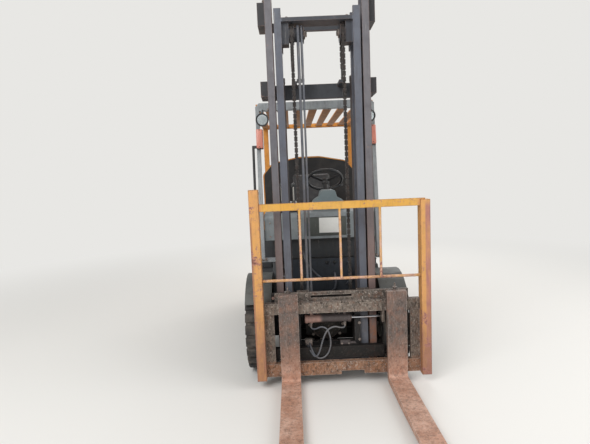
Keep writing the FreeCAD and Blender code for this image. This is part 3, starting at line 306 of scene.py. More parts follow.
@dataclass(frozen=True)
class Tone:
    """A broad change of colour over one part of a piece."""

    color: Rgb
    share: float = 0.8
    masks: tuple[tuple[str, float, float, float | None], ...] = ()
    size: float = 7.0
    soft: float = 0.25
    least: float = 0.6
    # under: lay the tone only on faces that look down, which paints shade under a thing.
    under: bool = False
    stretch: tuple[float, float, float] = (1, 1, 1)


@dataclass(frozen=True)
class WornPaint:
    """Paint on steel that has faded, been scratched, chipped at its edges and gathered dirt."""

    name: str
    paint: Rgb
    faded: Rgb
    under: Rgb
    rust: Rgb = (96, 62, 48)
    chips: float = 0.3
    edge: float = 0.5
    dirt: float = 0.35
    rough: float = 0.5
    size: float = 3.0
    grime: Rgb = (62, 54, 48)
    scratch: Rgb = (200, 196, 190)
    tones: tuple[Tone, ...] = ()

    def build(self) -> bpy.types.Material:
        """The finish's material."""
        g = Graph(self.name)
        color = g.mix(g.step(g.noise(self.size, 6), 0.32, 0.68), tint(*self.paint),
                      tint(*self.faded))
        color = g.tone(color, self.tones)
        cloud = g.noise(self.size * 4, 8, shift=(3.1, 1.7, 0.4), rough=0.7)
        color = g.mix(g.math("MULTIPLY", g.step(cloud, 0.42, 0.8), self.dirt), color,
                      tint(*self.grime))
        runs = g.step(g.noise(70.0, 6, (1, 1, 0.07), (0.4, 3.0, 1.0)), 0.5, 0.74)
        color = g.mix(g.math("MULTIPLY", runs, self.dirt * 0.7), color, tint(*self.grime))
        lines = g.noise(130.0, 3, (1, 1, 0.035), (1.0, 0.0, 2.0), (0.5, 0.35, 0.0))
        marks = g.math("MULTIPLY", g.step(lines, 0.66, 0.72), g.step(cloud, 0.4, 0.6))
        color = g.mix(g.math("MULTIPLY", marks, 0.45), color, tint(*self.scratch))
        ragged = g.noise(46.0, 12, shift=(5.0, 2.0, 8.0), rough=0.78)
        cluster = g.noise(self.size * 1.7, 4, shift=(8.0, 1.0, 6.0))
        rim = g.edges(0.007)
        loose = g.math("ADD", g.math("ADD", ragged, g.math("MULTIPLY", rim, self.edge * 0.3)),
                       g.math("MULTIPLY", g.math("SUBTRACT", cluster, 0.5), 0.55))
        limit = 0.8 - 0.25 * self.chips
        bare = g.step(loose, limit, limit + 0.035)
        color = g.mix(bare, color, tint(*self.under))
        color = g.mix(g.step(loose, limit + 0.05, limit + 0.12), color, tint(*self.rust))
        speckle = g.span(g.noise(260.0, 4, shift=(2, 2, 2)), 0.86, 1.12)
        shade = g.node("ShaderNodeHueSaturation", {"Color": color, "Value": speckle})
        g.set(Base_Color=shade.outputs["Color"],
              Roughness=g.span(cloud, self.rough - 0.15, self.rough + 0.3))
        g.bump(g.math("SUBTRACT", g.math("MULTIPLY", speckle, 0.4), bare), 0.0007, 0.5)
        return g.material


@dataclass(frozen=True)
class RustySteel:
    """Bare steel gone brown, with rubbed pale places, dark grime and fine scratches."""

    name: str
    brown: Rgb
    pale: Rgb
    dark: Rgb
    rough: float = 0.62
    size: float = 5.0
    metal: float = 0.15
    rubbed: float = 0.5
    fleck: Rgb = (142, 84, 60)
    edge: Rgb = (196, 182, 172)
    splash: tuple[float, float, float] | None = None
    tones: tuple[Tone, ...] = ()

    def build(self) -> bpy.types.Material:
        """The finish's material."""
        g = Graph(self.name)
        broad = g.noise(self.size, 9, rough=0.7)
        color = g.mix(g.step(broad, 0.34, 0.66), tint(*self.brown), tint(*self.pale))
        color = g.tone(color, self.tones)
        stains = g.step(g.noise(self.size * 2.6, 10, shift=(4.0, 1.0, 2.0), rough=0.74), 0.44, 0.72)
        color = g.mix(g.math("MULTIPLY", stains, 0.7), color, tint(*self.dark))
        runs = g.step(g.noise(60.0, 6, (1, 1, 0.06), (0.4, 3.0, 1.0)), 0.5, 0.75)
        color = g.mix(g.math("MULTIPLY", runs, 0.35), color, tint(*self.dark))
        for scale, low, finish, share, shift in (
                (38.0, 0.50, self.fleck, 0.5, 1.0), (60.0, 0.48, (26, 22, 21), 0.7, 5.0),
                (95.0, 0.52, (190, 181, 172), 0.7, 9.0)):
            flecks = g.step(g.noise(scale, 6, (1, 1, 0.7), (shift, 2.0, 7.0), rough=0.7),
                            low, low + 0.16)
            color = g.mix(g.math("MULTIPLY", flecks, share * self.rubbed), color, tint(*finish))
        lines = g.step(g.noise(150.0, 4, (1, 0.25, 0.05), (2.0, 0.0, 0.0)), 0.6, 0.7)
        color = g.mix(g.math("MULTIPLY", lines, 0.5 * self.rubbed), color, tint(*self.pale))
        fine = g.noise(80.0, 9, shift=(0.0, 6.0, 1.0), rough=0.75)
        rim = g.math("MULTIPLY", g.edges(0.006), g.step(fine, 0.3, 0.62))
        color = g.mix(g.math("MULTIPLY", rim, 0.85), color, tint(*self.edge))
        if self.splash:
            drops = g.math("MULTIPLY", g.near(spot(*self.splash), 0.10),
                           g.step(g.noise(30.0, 6), 0.3, 0.55))
            color = g.mix(drops, color, tint(232, 228, 222))
        speckle = g.span(g.noise(300.0, 4, shift=(2, 2, 2)), 0.82, 1.16)
        shade = g.node("ShaderNodeHueSaturation", {"Color": color, "Value": speckle})
        g.set(Base_Color=shade.outputs["Color"], Metallic=self.metal,
              Roughness=g.span(broad, self.rough - 0.12, self.rough + 0.22))
        g.bump(g.math("ADD", fine, speckle), 0.0008, 0.5)
        return g.material


@dataclass(frozen=True)
class Smooth:
    """Even material with faint variation: plastic, rubber, vinyl, chrome or paper."""

    name: str
    color: Rgb
    shade: Rgb
    rough: float = 0.5
    metal: float = 0.0
    grain: float = 60.0
    depth: float = 0.0006
    dust: float = 0.0
    coat: float = 0.0

    def build(self) -> bpy.types.Material:
        """The finish's material."""
        g = Graph(self.name)
        cloud = g.noise(self.grain / 8, 4)
        color = g.mix(g.step(cloud, 0.3, 0.7), tint(*self.color), tint(*self.shade))
        if self.dust:
            film = g.math("MULTIPLY", g.step(g.noise(9.0, 8, shift=(2, 5, 1)), 0.4, 0.75),
                          self.dust)
            color = g.mix(film, color, tint(150, 140, 128))
        g.set(Base_Color=color, Metallic=self.metal, Coat_Weight=self.coat,
              Roughness=g.span(cloud, max(self.rough - 0.08, 0.03), self.rough + 0.08))
        g.bump(g.noise(self.grain * 6, 3), self.depth, 0.4)
        return g.material


@dataclass(frozen=True)
class Vinyl:
    """Grained black vinyl, a little shiny."""

    name: str
    color: Rgb
    shade: Rgb
    cell: float = 420.0

    def build(self) -> bpy.types.Material:
        """The finish's material."""
        g = Graph(self.name)
        cells = g.node("ShaderNodeTexVoronoi", {"Vector": g.place, "Scale": self.cell},
                       feature="DISTANCE_TO_EDGE").outputs["Distance"]
        creases = g.step(cells, 0.0, 0.12)
        cloud = g.noise(7.0, 5)
        color = g.mix(g.step(cloud, 0.3, 0.7), tint(*self.color), tint(*self.shade))
        film = g.math("MULTIPLY", g.step(g.noise(11.0, 7, shift=(1, 2, 3)), 0.45, 0.8), 0.16)
        color = g.mix(film, color, tint(140, 134, 126))
        g.set(Base_Color=color, Roughness=g.span(cloud, 0.34, 0.55), Sheen_Weight=0.05)
        g.bump(creases, 0.0006, 0.5)
        return g.material


@dataclass(frozen=True)
class RibbedGlass:
    """Lamp glass with upright flutes over a bright bowl."""

    name: str
    color: Rgb
    flutes: float = 900.0

    def build(self) -> bpy.types.Material:
        """The finish's material."""
        g = Graph(self.name)
        wave = g.node("ShaderNodeTexWave", {"Vector": g.place, "Scale": self.flutes / FULL},
                      wave_type="BANDS", bands_direction="X").outputs["Fac"]
        color = g.mix(g.noise(30.0, 2), tint(*self.color), tint(150, 160, 164))
        g.set(Base_Color=color, Roughness=0.16, Coat_Weight=0.7, Metallic=0.35)
        g.bump(wave, 0.0012, 0.5)
        return g.material


class Finishes:
    """Every finish of the truck, built once and asked for by name."""

    TABLE = (
        WornPaint("outer_rail_paint", (100, 99, 105), (114, 111, 115), (136, 112, 104),
                  (92, 66, 56), chips=0.6, edge=0.9, dirt=0.4, size=2.6, grime=(58, 55, 58),
                  tones=(
                      Tone((132, 106, 98), 0.9, (("Z", 1500, 700, None),), least=0.3,
                           stretch=(1, 1, 0.2)),
                      Tone((150, 98, 66), 0.8, (("Z", 520, 380, None),), 26.0, 0.15, 0.1),
                      Tone((60, 64, 70), 0.95, (("X", 300, 280, 0),), least=0.9),
                      Tone((42, 42, 45), 0.95, (("X", 340, 350, 0),), least=0.9))),
        WornPaint("inner_rail_paint", (86, 90, 102), (100, 104, 114), (116, 106, 102),
                  (88, 68, 60), chips=0.5, edge=0.7, dirt=0.45, size=2.2, tones=(
                      Tone((52, 54, 60), 0.9, (("X", 236, 228, 0),), least=0.8),
                      # Near-black towards the bottom of the inner faces: painted shade between the
                      # rails, where the floor would light them.
                      Tone((18, 17, 18), 0.95, (("Z", 720, 420, None), ("X", 236, 226, 0)),
                           least=0.9),
                      Tone((112, 112, 118), 0.7, (("Z", 560, 380, None), ("X", 230, 240, 0)),
                           30.0, 0.12, 0.0))),
        WornPaint("cowl_paint", (122, 130, 134), (136, 142, 144), (92, 88, 84),
                  chips=0.12, edge=0.5, dirt=0.35),
        WornPaint("hoop_paint", (140, 146, 150), (158, 162, 164), (110, 100, 94),
                  chips=0.25, edge=0.6, dirt=0.4),
        WornPaint("fender_paint", (78, 80, 80), (94, 96, 93), (84, 72, 62),
                  chips=0.25, edge=0.5, dirt=0.5),
        WornPaint("frame_paint", (44, 47, 50), (56, 60, 63), (78, 66, 58),
                  chips=0.2, edge=0.6, dirt=0.4, grime=(84, 74, 66)),
        # The floor plate's paint is darkened to near black-blue: partly its own colour, partly
        # painted shade of the footwell.
        WornPaint("floor_paint_and_shade", (40, 46, 54), (52, 58, 66), (84, 72, 62),
                  chips=0.2, edge=0.6, dirt=0.4, grime=(30, 30, 32)),
        WornPaint("guard_paint", (206, 132, 46), (218, 150, 66), (140, 92, 62),
                  chips=0.5, edge=0.7, dirt=0.35,
                  # Dark brown on the roof's faces that look down: painted shade under the guard.
                  tones=(Tone((92, 56, 30), 0.85, (("Z", 1940, 1990, None),), under=True),)),
        WornPaint("ballast_paint", (206, 134, 46), (214, 148, 64), (120, 86, 62),
                  chips=0.45, edge=0.8, dirt=0.3, size=2.0),
        WornPaint("backrest_paint", (218, 162, 62), (222, 170, 84), (170, 118, 110),
                  (112, 72, 56), chips=0.9, edge=0.9, dirt=0.25, size=3.5, tones=(
                      Tone((214, 156, 102), 0.9, (("X", 500, 525, 95),), soft=0.3, least=0.5),
                      Tone((172, 116, 112), 0.95, (("X", 650, 660, None),
                                                   ("Z", 1260, 1200, None)),
                           16.0, 0.12, 0.5, stretch=(1, 1, 0.3)),
                      Tone((150, 102, 88), 0.85, (("X", -482, -490, None),
                                                  ("Z", 1200, 1100, None)),
                           16.0, 0.15, 0.45, stretch=(1, 1, 0.3)),
                      Tone((152, 106, 86), 0.95, (("X", 500, 525, 95), ("Z", 700, 260, None)),
                           14.0, 0.16, 0.5, stretch=(1, 1, 0.4)),
                      Tone((216, 178, 162), 0.85, (("X", 515, 490, 95), ("Z", 1212, 1180, None)),
                           24.0, 0.15, 0.35))),
        WornPaint("rim_paint", (160, 158, 152), (178, 174, 166), (104, 82, 68),
                  chips=0.3, edge=0.6, dirt=0.6, size=6.0),
        WornPaint("cylinder_paint", (66, 60, 60), (84, 76, 76), (112, 88, 78),
                  chips=0.3, edge=0.6, dirt=0.5, tones=(
                      Tone((176, 138, 126), 0.9, (("X", -30, -70, None), ("Y", -290, -300, None)),
                           12.0, 0.2, 0.6),)),
        WornPaint("panel_paint", (70, 75, 72), (80, 84, 80), (110, 104, 98),
                  chips=0.08, edge=0.4, dirt=0.25, rough=0.42),
        RustySteel("fork_steel", (190, 143, 120), (214, 178, 160), (146, 108, 90), rubbed=0.55,
                   splash=(332, -900, 340), tones=(
                       Tone((132, 104, 90), 0.85, (("Z", 60, 240, None),), 9.0, 0.25, 0.5),
                       Tone((92, 87, 84), 0.95, (("Z", 150, 360, None),), 6.0, 0.2, 0.72))),
        RustySteel("carriage_steel", (104, 93, 85), (142, 129, 117), (48, 43, 40), rubbed=1.0,
                   fleck=(124, 84, 64),
                   tones=(
                       Tone((164, 116, 84), 0.95, (("Z", 190, 150, None),), 9.0, 0.25, 0.6),
                       Tone((60, 56, 54), 0.85, (("Z", 566, 590, None),), 9.0, 0.3, 0.4))),
        RustySteel("cast_iron", (40, 38, 36), (64, 60, 56), (26, 24, 22), rough=0.7, rubbed=0.25),
        RustySteel("oily_iron", (20, 19, 18), (30, 28, 27), (12, 11, 11), rough=0.6, rubbed=0.1,
                   edge=(60, 56, 54)),
        RustySteel("chain_steel", (22, 20, 20), (60, 56, 54), (12, 11, 11), rough=0.36,
                   size=9.0, metal=0.3, rubbed=0.15, edge=(84, 78, 76)),
        RustySteel("bolt_steel", (78, 72, 70), (140, 132, 126), (50, 42, 38), rough=0.45,
                   size=12.0, metal=0.4),
        Smooth("rod_chrome", (200, 200, 204), (182, 184, 190), rough=0.14, metal=1.0),
        Smooth("tyre_rubber", (42, 41, 42), (54, 52, 51), rough=0.8, grain=80.0, dust=0.4),
        Smooth("dark_plastic", (30, 32, 36), (40, 42, 46), rough=0.45, dust=0.1),
        Smooth("dash_plastic", (106, 120, 124), (116, 130, 134), rough=0.48, dust=0.12),
        Smooth("shroud_plastic", (16, 16, 18), (26, 26, 28), rough=0.55, dust=0.05),
        Smooth("mat_rubber", (38, 42, 46), (50, 54, 58), rough=0.75, dust=0.3),
        Smooth("lamp_metal", (84, 88, 92), (104, 108, 110), rough=0.35, metal=0.6),
        Smooth("indicator_lens", (206, 120, 104), (214, 138, 118), rough=0.35, coat=0.3,
               dust=0.12),
        Smooth("tail_lens", (150, 24, 22), (170, 34, 28), rough=0.25, coat=0.5, dust=0.08),
        Smooth("paper", (240, 240, 236), (230, 230, 226), rough=0.7, dust=0.06),
        Smooth("hose_rubber", (92, 96, 104), (76, 78, 86), rough=0.5, dust=0.3),
        Smooth("zinc", (186, 184, 178), (160, 156, 148), rough=0.36, metal=0.85),
        Smooth("dial_face", (26, 28, 30), (34, 36, 38), rough=0.2, coat=0.8),
        Vinyl("seat_vinyl", (34, 34, 37), (46, 45, 47)),
        RibbedGlass("lamp_glass", (206, 214, 216)),
    )

    def __init__(self) -> None:
        """Build all of them."""
        self.made = {finish.name: finish.build() for finish in self.TABLE}

    def get(self, name: str) -> bpy.types.Material:
        """The material of one finish."""
        return self.made[name]


FINISHES = Finishes()


def dress_node(node: str, finish: str) -> None:
    """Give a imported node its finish.

    Args:
        node: the node's name.
        finish: the finish's name.
    """
    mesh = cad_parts[node].data
    mesh.materials.clear()
    mesh.materials.append(FINISHES.get(finish))


def carry(piece: bpy.types.Object, body: Body, replaces: Sequence[str] = ()) -> None:
    """Link a piece to the scene and say what it rides on and stands for."""
    bpy.context.scene.collection.objects.link(piece)
    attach(piece, body.value)
    if replaces:
        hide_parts(*replaces)


def make_piece(name: str, shape: Shape, body: Body, finish: str,
               smooth: float = 35.0, replaces: Sequence[str] = ()) -> bpy.types.Object:
    """Turn a finished bmesh into a piece that rides on a body.

    Args:
        name: the piece's name.
        shape: its bmesh, in the row's frame; it is freed.
        body: the body that carries it.
        finish: the finish's name.
        smooth: the widest angle in degrees that is shaded smooth.
        replaces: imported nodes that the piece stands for.

    Returns:
        The piece.
    """
    bmesh.ops.recalc_face_normals(shape, faces=shape.faces)
    mesh = bpy.data.meshes.new(name)
    shape.to_mesh(mesh)
    shape.free()
    mesh.polygons.foreach_set("use_smooth", [True] * len(mesh.polygons))
    mesh.set_sharp_from_angle(angle=math.radians(smooth))
    mesh.materials.append(FINISHES.get(finish))
    piece = bpy.data.objects.new(name, mesh)
    carry(piece, body, replaces)
    LOG.info("%s: %d faces", name, len(mesh.polygons))
    return piece


def stamp(shape: Shape, pattern: bpy.types.Mesh, places: Iterable[Matrix]) -> None:
    """Copy a small mesh to each place.

    Args:
        shape: the bmesh that gets the copies.
        pattern: the small mesh about its own origin.
        places: where each copy goes.
    """
    for place in places:
        copy = pattern.copy()
        copy.transform(place)
        shape.from_mesh(copy)
        bpy.data.meshes.remove(copy)


def pattern_mesh(name: str, fill: Callable[[Shape], None]) -> bpy.types.Mesh:
    """Small mesh that stamp repeats.

    Args:
        name: its name.
        fill: shapes it in an empty bmesh.

    Returns:
        The mesh.
    """
    shape = bmesh.new()
    fill(shape)
    bmesh.ops.recalc_face_normals(shape, faces=shape.faces)
    mesh = bpy.data.meshes.new(name)
    shape.to_mesh(mesh)
    shape.free()
    return mesh


def move(point: Vector) -> Matrix:
    """A shift to a point."""
    return Matrix.Translation(point)


def add_tube(shape: Shape, radius: float, depth: float, place: Matrix, segments: int = 24,
             chamfer: float = 0.0, end_radius: float | None = None) -> None:
    """Closed cylinder or cone along its own z.

    Args:
        shape: the bmesh that gets it.
        radius: in metres.
        depth: its length in metres.
        place: where its middle goes.
        segments: round it.
        chamfer: cut off its end edges, in metres.
        end_radius: the far end's, where it differs.
    """
    far = radius if end_radius is None else end_radius
    made = bmesh.ops.create_cone(shape, cap_ends=True, segments=segments, radius1=radius,
                                 radius2=far, depth=depth, matrix=place)
    if chamfer:
        ends = {f for v in made["verts"] for f in v.link_faces if len(f.verts) == segments}
        edges = list({e for f in ends for e in f.edges})
        bmesh.ops.bevel(shape, geom=edges, offset=chamfer, segments=2, profile=0.5,
                        affect="EDGES", material=-1)


def add_slab(shape: Shape, size: Sequence[float], place: Matrix, bevel: float = 0.0,
             taper: tuple[float, float] = (1.0, 1.0), rounds: int = 2) -> None:
    """Box with its edges rounded.

    Args:
        shape: the bmesh that gets it.
        size: its three sizes in metres.
        place: where its middle goes.
        bevel: the edges' rounding in metres.
        taper: the top's share of the bottom along x and y.
        rounds: faces across a rounded edge.
    """
    made = bmesh.ops.create_cube(shape, size=1.0)
    for vert in made["verts"]:
        if vert.co.z > 0:
            vert.co.x *= taper[0]
            vert.co.y *= taper[1]
    bmesh.ops.transform(shape, matrix=place @ Matrix.Diagonal((*size, 1)), verts=made["verts"])
    if bevel:
        edges = list({e for v in made["verts"] for e in v.link_edges})
        bmesh.ops.bevel(shape, geom=edges, offset=bevel, segments=rounds, profile=0.5,
                        affect="EDGES", material=-1)


def add_box(shape: Shape, low: Sequence[float], high: Sequence[float], bevel: float = 0.0) -> None:
    """Box between two corners given in the truck's millimetres.

    Args:
        shape: the bmesh that gets it.
        low: its lowest corner.
        high: its highest corner.
        bevel: the edges' rounding in metres.
    """
    first, last = spot(*low), spot(*high)
    add_slab(shape, last - first, move((first + last) / 2), bevel)


def add_turned(shape: Shape, outline: Sequence[tuple[float, float]], place: Matrix,
               segments: int = 48, closed: bool = True) -> None:
    """Turn an outline about its own z.

    Args:
        shape: the bmesh that gets it.
        outline: (radius, along z) points in metres; an open one starts and ends on the axis.
        place: where its origin goes.
        segments: round it.
        closed: the last point joins the first.
    """
    def fill(turned: Shape) -> None:
        """Draw the outline and spin it."""
        verts = [turned.verts.new((radius, 0, along)) for radius, along in outline]
        edges = [turned.edges.new(pair) for pair in zip(verts, verts[1:])]
        if closed:
            edges.append(turned.edges.new((verts[-1], verts[0])))
        bmesh.ops.spin(turned, geom=verts + edges, cent=(0, 0, 0), axis=(0, 0, 1), angle=FULL,
                       steps=segments, use_merge=True)
        bmesh.ops.remove_doubles(turned, verts=turned.verts, dist=1e-6)

    mesh = pattern_mesh("turned", fill)
    stamp(shape, mesh, [place])
    bpy.data.meshes.remove(mesh)


def add_ring(shape: Shape, radius: float, tube: float, place: Matrix, segments: int = 48,
             sides: int = 12) -> None:
    """Round ring about its own z."""
    outline = [(radius + tube * math.cos(FULL * n / sides), tube * math.sin(FULL * n / sides))
               for n in range(sides)]
    add_turned(shape, outline, place, segments)


def hex_bolt() -> bpy.types.Mesh:
    """Bolt head of unit size across its corners, on its washer, standing along z."""
    def fill(shape: Shape) -> None:
        """Washer, hexagon and the bolt's end."""
        add_tube(shape, 0.66, 0.12, move(Vector((0, 0, 0.06))), 16)
        add_tube(shape, 0.5, 0.42, move(Vector((0, 0, 0.33))), 6, 0.03)
        add_tube(shape, 0.24, 0.16, move(Vector((0, 0, 0.62))), 10, 0.02)

    return pattern_mesh("hex_bolt", fill)


HEX_BOLT = hex_bolt()


def add_bolts(shape: Shape, facing: Facing, size: float,
              places: Iterable[Sequence[float]]) -> None:
    """Bolt heads on a face.

    Args:
        shape: the bmesh that gets them.
        facing: the way that the face looks.
        size: across a head's corners, in millimetres.
        places: where they stand, in the truck's millimetres.
    """
    scale = Matrix.Diagonal((size / 1000, size / 1000, size / 1000, 1))
    stamp(shape, HEX_BOLT, [move(spot(*place)) @ facing.turn() @ scale for place in places])


@dataclass
class PackedFinishes:
    """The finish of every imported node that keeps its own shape."""

    groups: dict[str, tuple[str, ...]] = field(default_factory=lambda: {
        "outer_rail_paint": ("outer_mast", "hood_hinge"),
        "inner_rail_paint": ("inner_mast",),
        "cowl_paint": ("cowl",),
        "hoop_paint": ("guard_front",),
        "fender_paint": ("front_fenders",),
        "frame_paint": ("chassis_frame", "cowl_base", "side_panels", "hood"),
        "floor_paint_and_shade": ("floor_plate",),
        "guard_paint": ("guard_rear", "rear_shroud"),
        "ballast_paint": ("counterweight",),
        "backrest_paint": ("load_backrest",),
        "cylinder_paint": ("lift_barrels", "shift_barrel", "tilt_barrel_left",
                           "tilt_barrel_right"),
        "fork_steel": ("fork_left", "fork_right"),
        "carriage_steel": ("fork_frame",),
        "cast_iron": ("steer_axle", "engine_block", "knuckle_left", "knuckle_right"),
        "oily_iron": ("drive_axle", "lift_carriage"),
        "rod_chrome": ("lift_rods", "tilt_rod_left", "tilt_rod_right"),
        "dark_plastic": ("pedals", "grab_handle"),
        "shroud_plastic": ("shroud_face",),
    })

    def dress(self) -> None:
        """Give each node its finish."""
        for finish, nodes in self.groups.items():
            for node in nodes:
                dress_node(node, finish)


@dataclass
class LeafChains:
    """Lift chains: plates and pins that hang in front, round the sheaves and down behind."""

    pitch: float = 0.01905
    sheave: Vector = field(default_factory=lambda: spot(0, -222, 2385))
    radius: float = 0.0583
    places: tuple[float, float] = (-170.0, 170.0)
    climb: float = 1.65

    def plate(self, width: float, height: float) -> bpy.types.Mesh:
        """A pack of plates with round ends, along z.

        Args:
            width: across the pack, along x.
            height: of a plate, along y.

        Returns:
            The pack's mesh about its middle.
        """
        def fill(shape: Shape) -> None:
            """Stretch a disc by one pitch and give it thickness."""
            ring = bmesh.ops.create_circle(shape, cap_ends=True, segments=12, radius=height / 2)
            for vert in ring["verts"]:
                vert.co.y += math.copysign(self.pitch / 2, vert.co.y) if vert.co.y else 0
            bmesh.ops.rotate(shape, verts=shape.verts, matrix=Matrix.Rotation(QUARTER, 3, "Y"))
            bmesh.ops.rotate(shape, verts=shape.verts, matrix=Matrix.Rotation(QUARTER, 3, "X"))
            bmesh.ops.translate(shape, verts=shape.verts, vec=(-width / 2, 0, 0))
            grown = bmesh.ops.extrude_face_region(shape, geom=shape.faces[:])
            verts = [g for g in grown["geom"] if isinstance(g, bmesh.types.BMVert)]
            bmesh.ops.translate(shape, verts=verts, vec=(width, 0, 0))

        return pattern_mesh("plate", fill)

    def run(self, top: Vector, count: int) -> list[Matrix]:
        """Places of the links of a straight fall, from its top down."""
        return [move(top - Vector((0, 0, (n + 0.5) * self.pitch))) for n in range(count)]

    def stamp_links(self, shape: Shape, places: Sequence[Matrix]) -> None:
        """Alternate wide and narrow packs with a pin through each joint.

        Args:
            shape: the bmesh that gets the chain.
            places: the middle of each link.
        """
        wide, narrow = self.plate(0.0215, 0.0135), self.plate(0.0105, 0.0148)
        pin = pattern_mesh("pin", lambda s: add_tube(s, 0.0036, 0.0245, Facing.LEFT.turn(), 8))
        stamp(shape, wide, places[::2])
        stamp(shape, narrow, places[1::2])
        half = move(Vector((0, 0, -self.pitch / 2)))
        stamp(shape, pin, [place @ half for place in places])

    def build(self) -> None:
        """The falls, wraps and anchored ends, each on the body that carries it."""
        front, back, wraps = bmesh.new(), bmesh.new(), bmesh.new()
        for place in self.places:
            middle = self.sheave + Vector((place / 1000, 0, 0))
            ahead = middle + Vector((0, -self.radius, 0))
            behind = middle + Vector((0, self.radius, 0))
            self.stamp_links(front, self.run(ahead, 93))
            self.stamp_links(back, self.run(behind, 10))
            step = self.pitch / self.radius
            turns = [move(middle) @ Matrix.Rotation(-(n + 0.5) * step, 4, "X")
                     @ move(Vector((0, -self.radius, 0))) for n in range(int(math.pi / step))]
            self.stamp_links(wraps, turns)
            rod = Vector((behind.x, behind.y, 2.13))
            add_tube(back, 0.007, 0.084, move(rod), 12)
            for level in (2.094, 2.106):
                add_tube(back, 0.0095, 0.009, move(Vector((rod.x, rod.y, level))), 6)
            add_slab(back, (0.020, 0.014, 0.030), move(Vector((rod.x, rod.y, 2.178))), 0.003)
        falls = make_piece("chain_falls", front, Body.STAGE, "chain_steel",
                           replaces=("lift_chains",))
        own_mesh(falls)
        make_piece("chain_turns", wraps, Body.STAGE, "chain_steel",
                   replaces=("chain_wraps",))
        make_piece("chain_ends", back, Body.MAST, "chain_steel",
                   replaces=("chain_anchors",))


@dataclass
class MastHoses:
    """Two hoses that run beside the left-hand chain, over their own sheave and down behind."""

    sheave: Vector = field(default_factory=lambda: spot(0, -222, 2385))
    bed: float = 0.0463
    hoses: tuple[tuple[float, float], ...] = ((-128.0, 0.009), (-104.0, 0.007))
    foot: float = 0.625
    climb: float = 1.65

    def build(self) -> None:
        """The long front falls and the rest."""
        front, turns, back = bmesh.new(), bmesh.new(), bmesh.new()
        for place, radius in self.hoses:
            middle = self.sheave + Vector((place / 1000, 0, 0))
            reach = self.bed + radius
            length = middle.z - self.foot
            add_tube(front, radius, length,
                     move(Vector((middle.x, middle.y - reach, self.foot + length / 2))), 16)
            for level, collar in ((0.012, 1.35), (0.034, 1.2)):
                add_tube(front, radius * collar, 0.02,
                         move(Vector((middle.x, middle.y - reach, self.foot + level))), 6)
            circle = bmesh.ops.create_circle(
                turns, segments=16, radius=radius,
                matrix=move(Vector((middle.x, middle.y - reach, middle.z))))
            rim = [e for e in turns.edges if all(v in circle["verts"] for v in e.verts)]
            bmesh.ops.spin(turns, geom=circle["verts"] + rim, cent=middle, axis=(-1, 0, 0),
                           angle=math.pi, steps=18)
            drop = middle.z - 2.09
            add_tube(back, radius, drop,
                     move(Vector((middle.x, middle.y + reach, middle.z - drop / 2))), 16)
            add_tube(back, radius * 1.3, 0.03,
                     move(Vector((middle.x, middle.y + reach, middle.z - drop + 0.02))), 6)
        falls = make_piece("hose_falls", front, Body.STAGE, "hose_rubber",
                           replaces=("lift_hoses",))
        length = self.sheave.z - self.foot
        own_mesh(falls)
        make_piece("hose_turns", turns, Body.STAGE, "hose_rubber")
        add_box(back, (-146, -172, 2084), (-92, -150, 2108), 0.002)
        make_piece("hose_ends", back, Body.MAST, "hose_rubber")


def free_hose(name: str, route: Sequence[tuple[float, float, float]],
              radius: float) -> tuple[bpy.types.Object, float]:
    """A free hose along one smooth curve.

    Args:
        name: the piece's name.
        route: the curve's control points, in the truck's millimetres.
        radius: the hose's, in metres.

    Returns:
        The hose, not yet linked, and its length in metres.
    """
    curve = bpy.data.curves.new(name, "CURVE")
    curve.dimensions = "3D"
    spline = curve.splines.new("NURBS")
    spline.points.add(len(route) - 1)
    for knot, place in zip(spline.points, route):
        knot.co = (*spot(*place), 1)
    spline.order_u = 3
    spline.use_endpoint_u = True
    hose = bpy.data.objects.new(name, curve)
    line = bpy.data.meshes.new_from_object(hose)
    length = sum((line.vertices[a].co - line.vertices[b].co).length
                 for a, b in (edge.vertices for edge in line.edges))
    bpy.data.meshes.remove(line)
    curve.bevel_depth = radius
    curve.bevel_resolution = 3
    curve.use_fill_caps = True
    curve.materials.append(FINISHES.get("hose_rubber"))
    return hose, length


@dataclass
class ShiftHoses:
    """Two thin free hoses that loop from the side-shift cylinder's ports down behind the bar."""

    radius: float = 0.0055
    loops: tuple[tuple[tuple[float, float, float], ...], ...] = (
        ((-119, -332, 400), (-118, -342, 384), (-92, -354, 380), (-46, -362, 404),
         (-6, -364, 384), (10, -364, 330), (14, -364, 280), (2, -364, 226), (-28, -364, 184),
         (-70, -364, 172), (-106, -363, 204), (-122, -352, 244), (-130, -332, 266),
         (-132, -310, 268)),
        ((118, -332, 400), (116, -342, 384), (88, -352, 384), (40, -368, 404),
         (-8, -377, 384), (-34, -377, 336), (-50, -377, 288), (-64, -376, 236),
         (-84, -372, 196), (-104, -364, 190), (-126, -352, 222), (-142, -334, 250),
         (-146, -310, 256)))

    def build(self) -> None:
        """Each hose as a smooth curve of its real length, with a fitting at both ends."""
        ends = bmesh.new()
        for number, route in enumerate(self.loops):
            hose, length = free_hose(f"shift_hose_{number}", route, self.radius)
            carry(hose, Body.CARRIAGE)
            x, y, z = route[0]
            add_tube(ends, 0.0085, 0.022, move(spot(x, y, z + 10)), 6)
            add_tube(ends, 0.0068, 0.014, move(spot(x, y - 2, z - 4)), 12)
            x, y, z = route[-1]
            add_tube(ends, 0.0085, 0.030, move(spot(x, y + 12, z + 1)) @ Facing.BACK.turn(), 6)
        add_box(ends, (-164, -308, 238), (-112, -268, 292), 0.004)
        make_piece("shift_fittings", ends, Body.CARRIAGE, "bolt_steel")


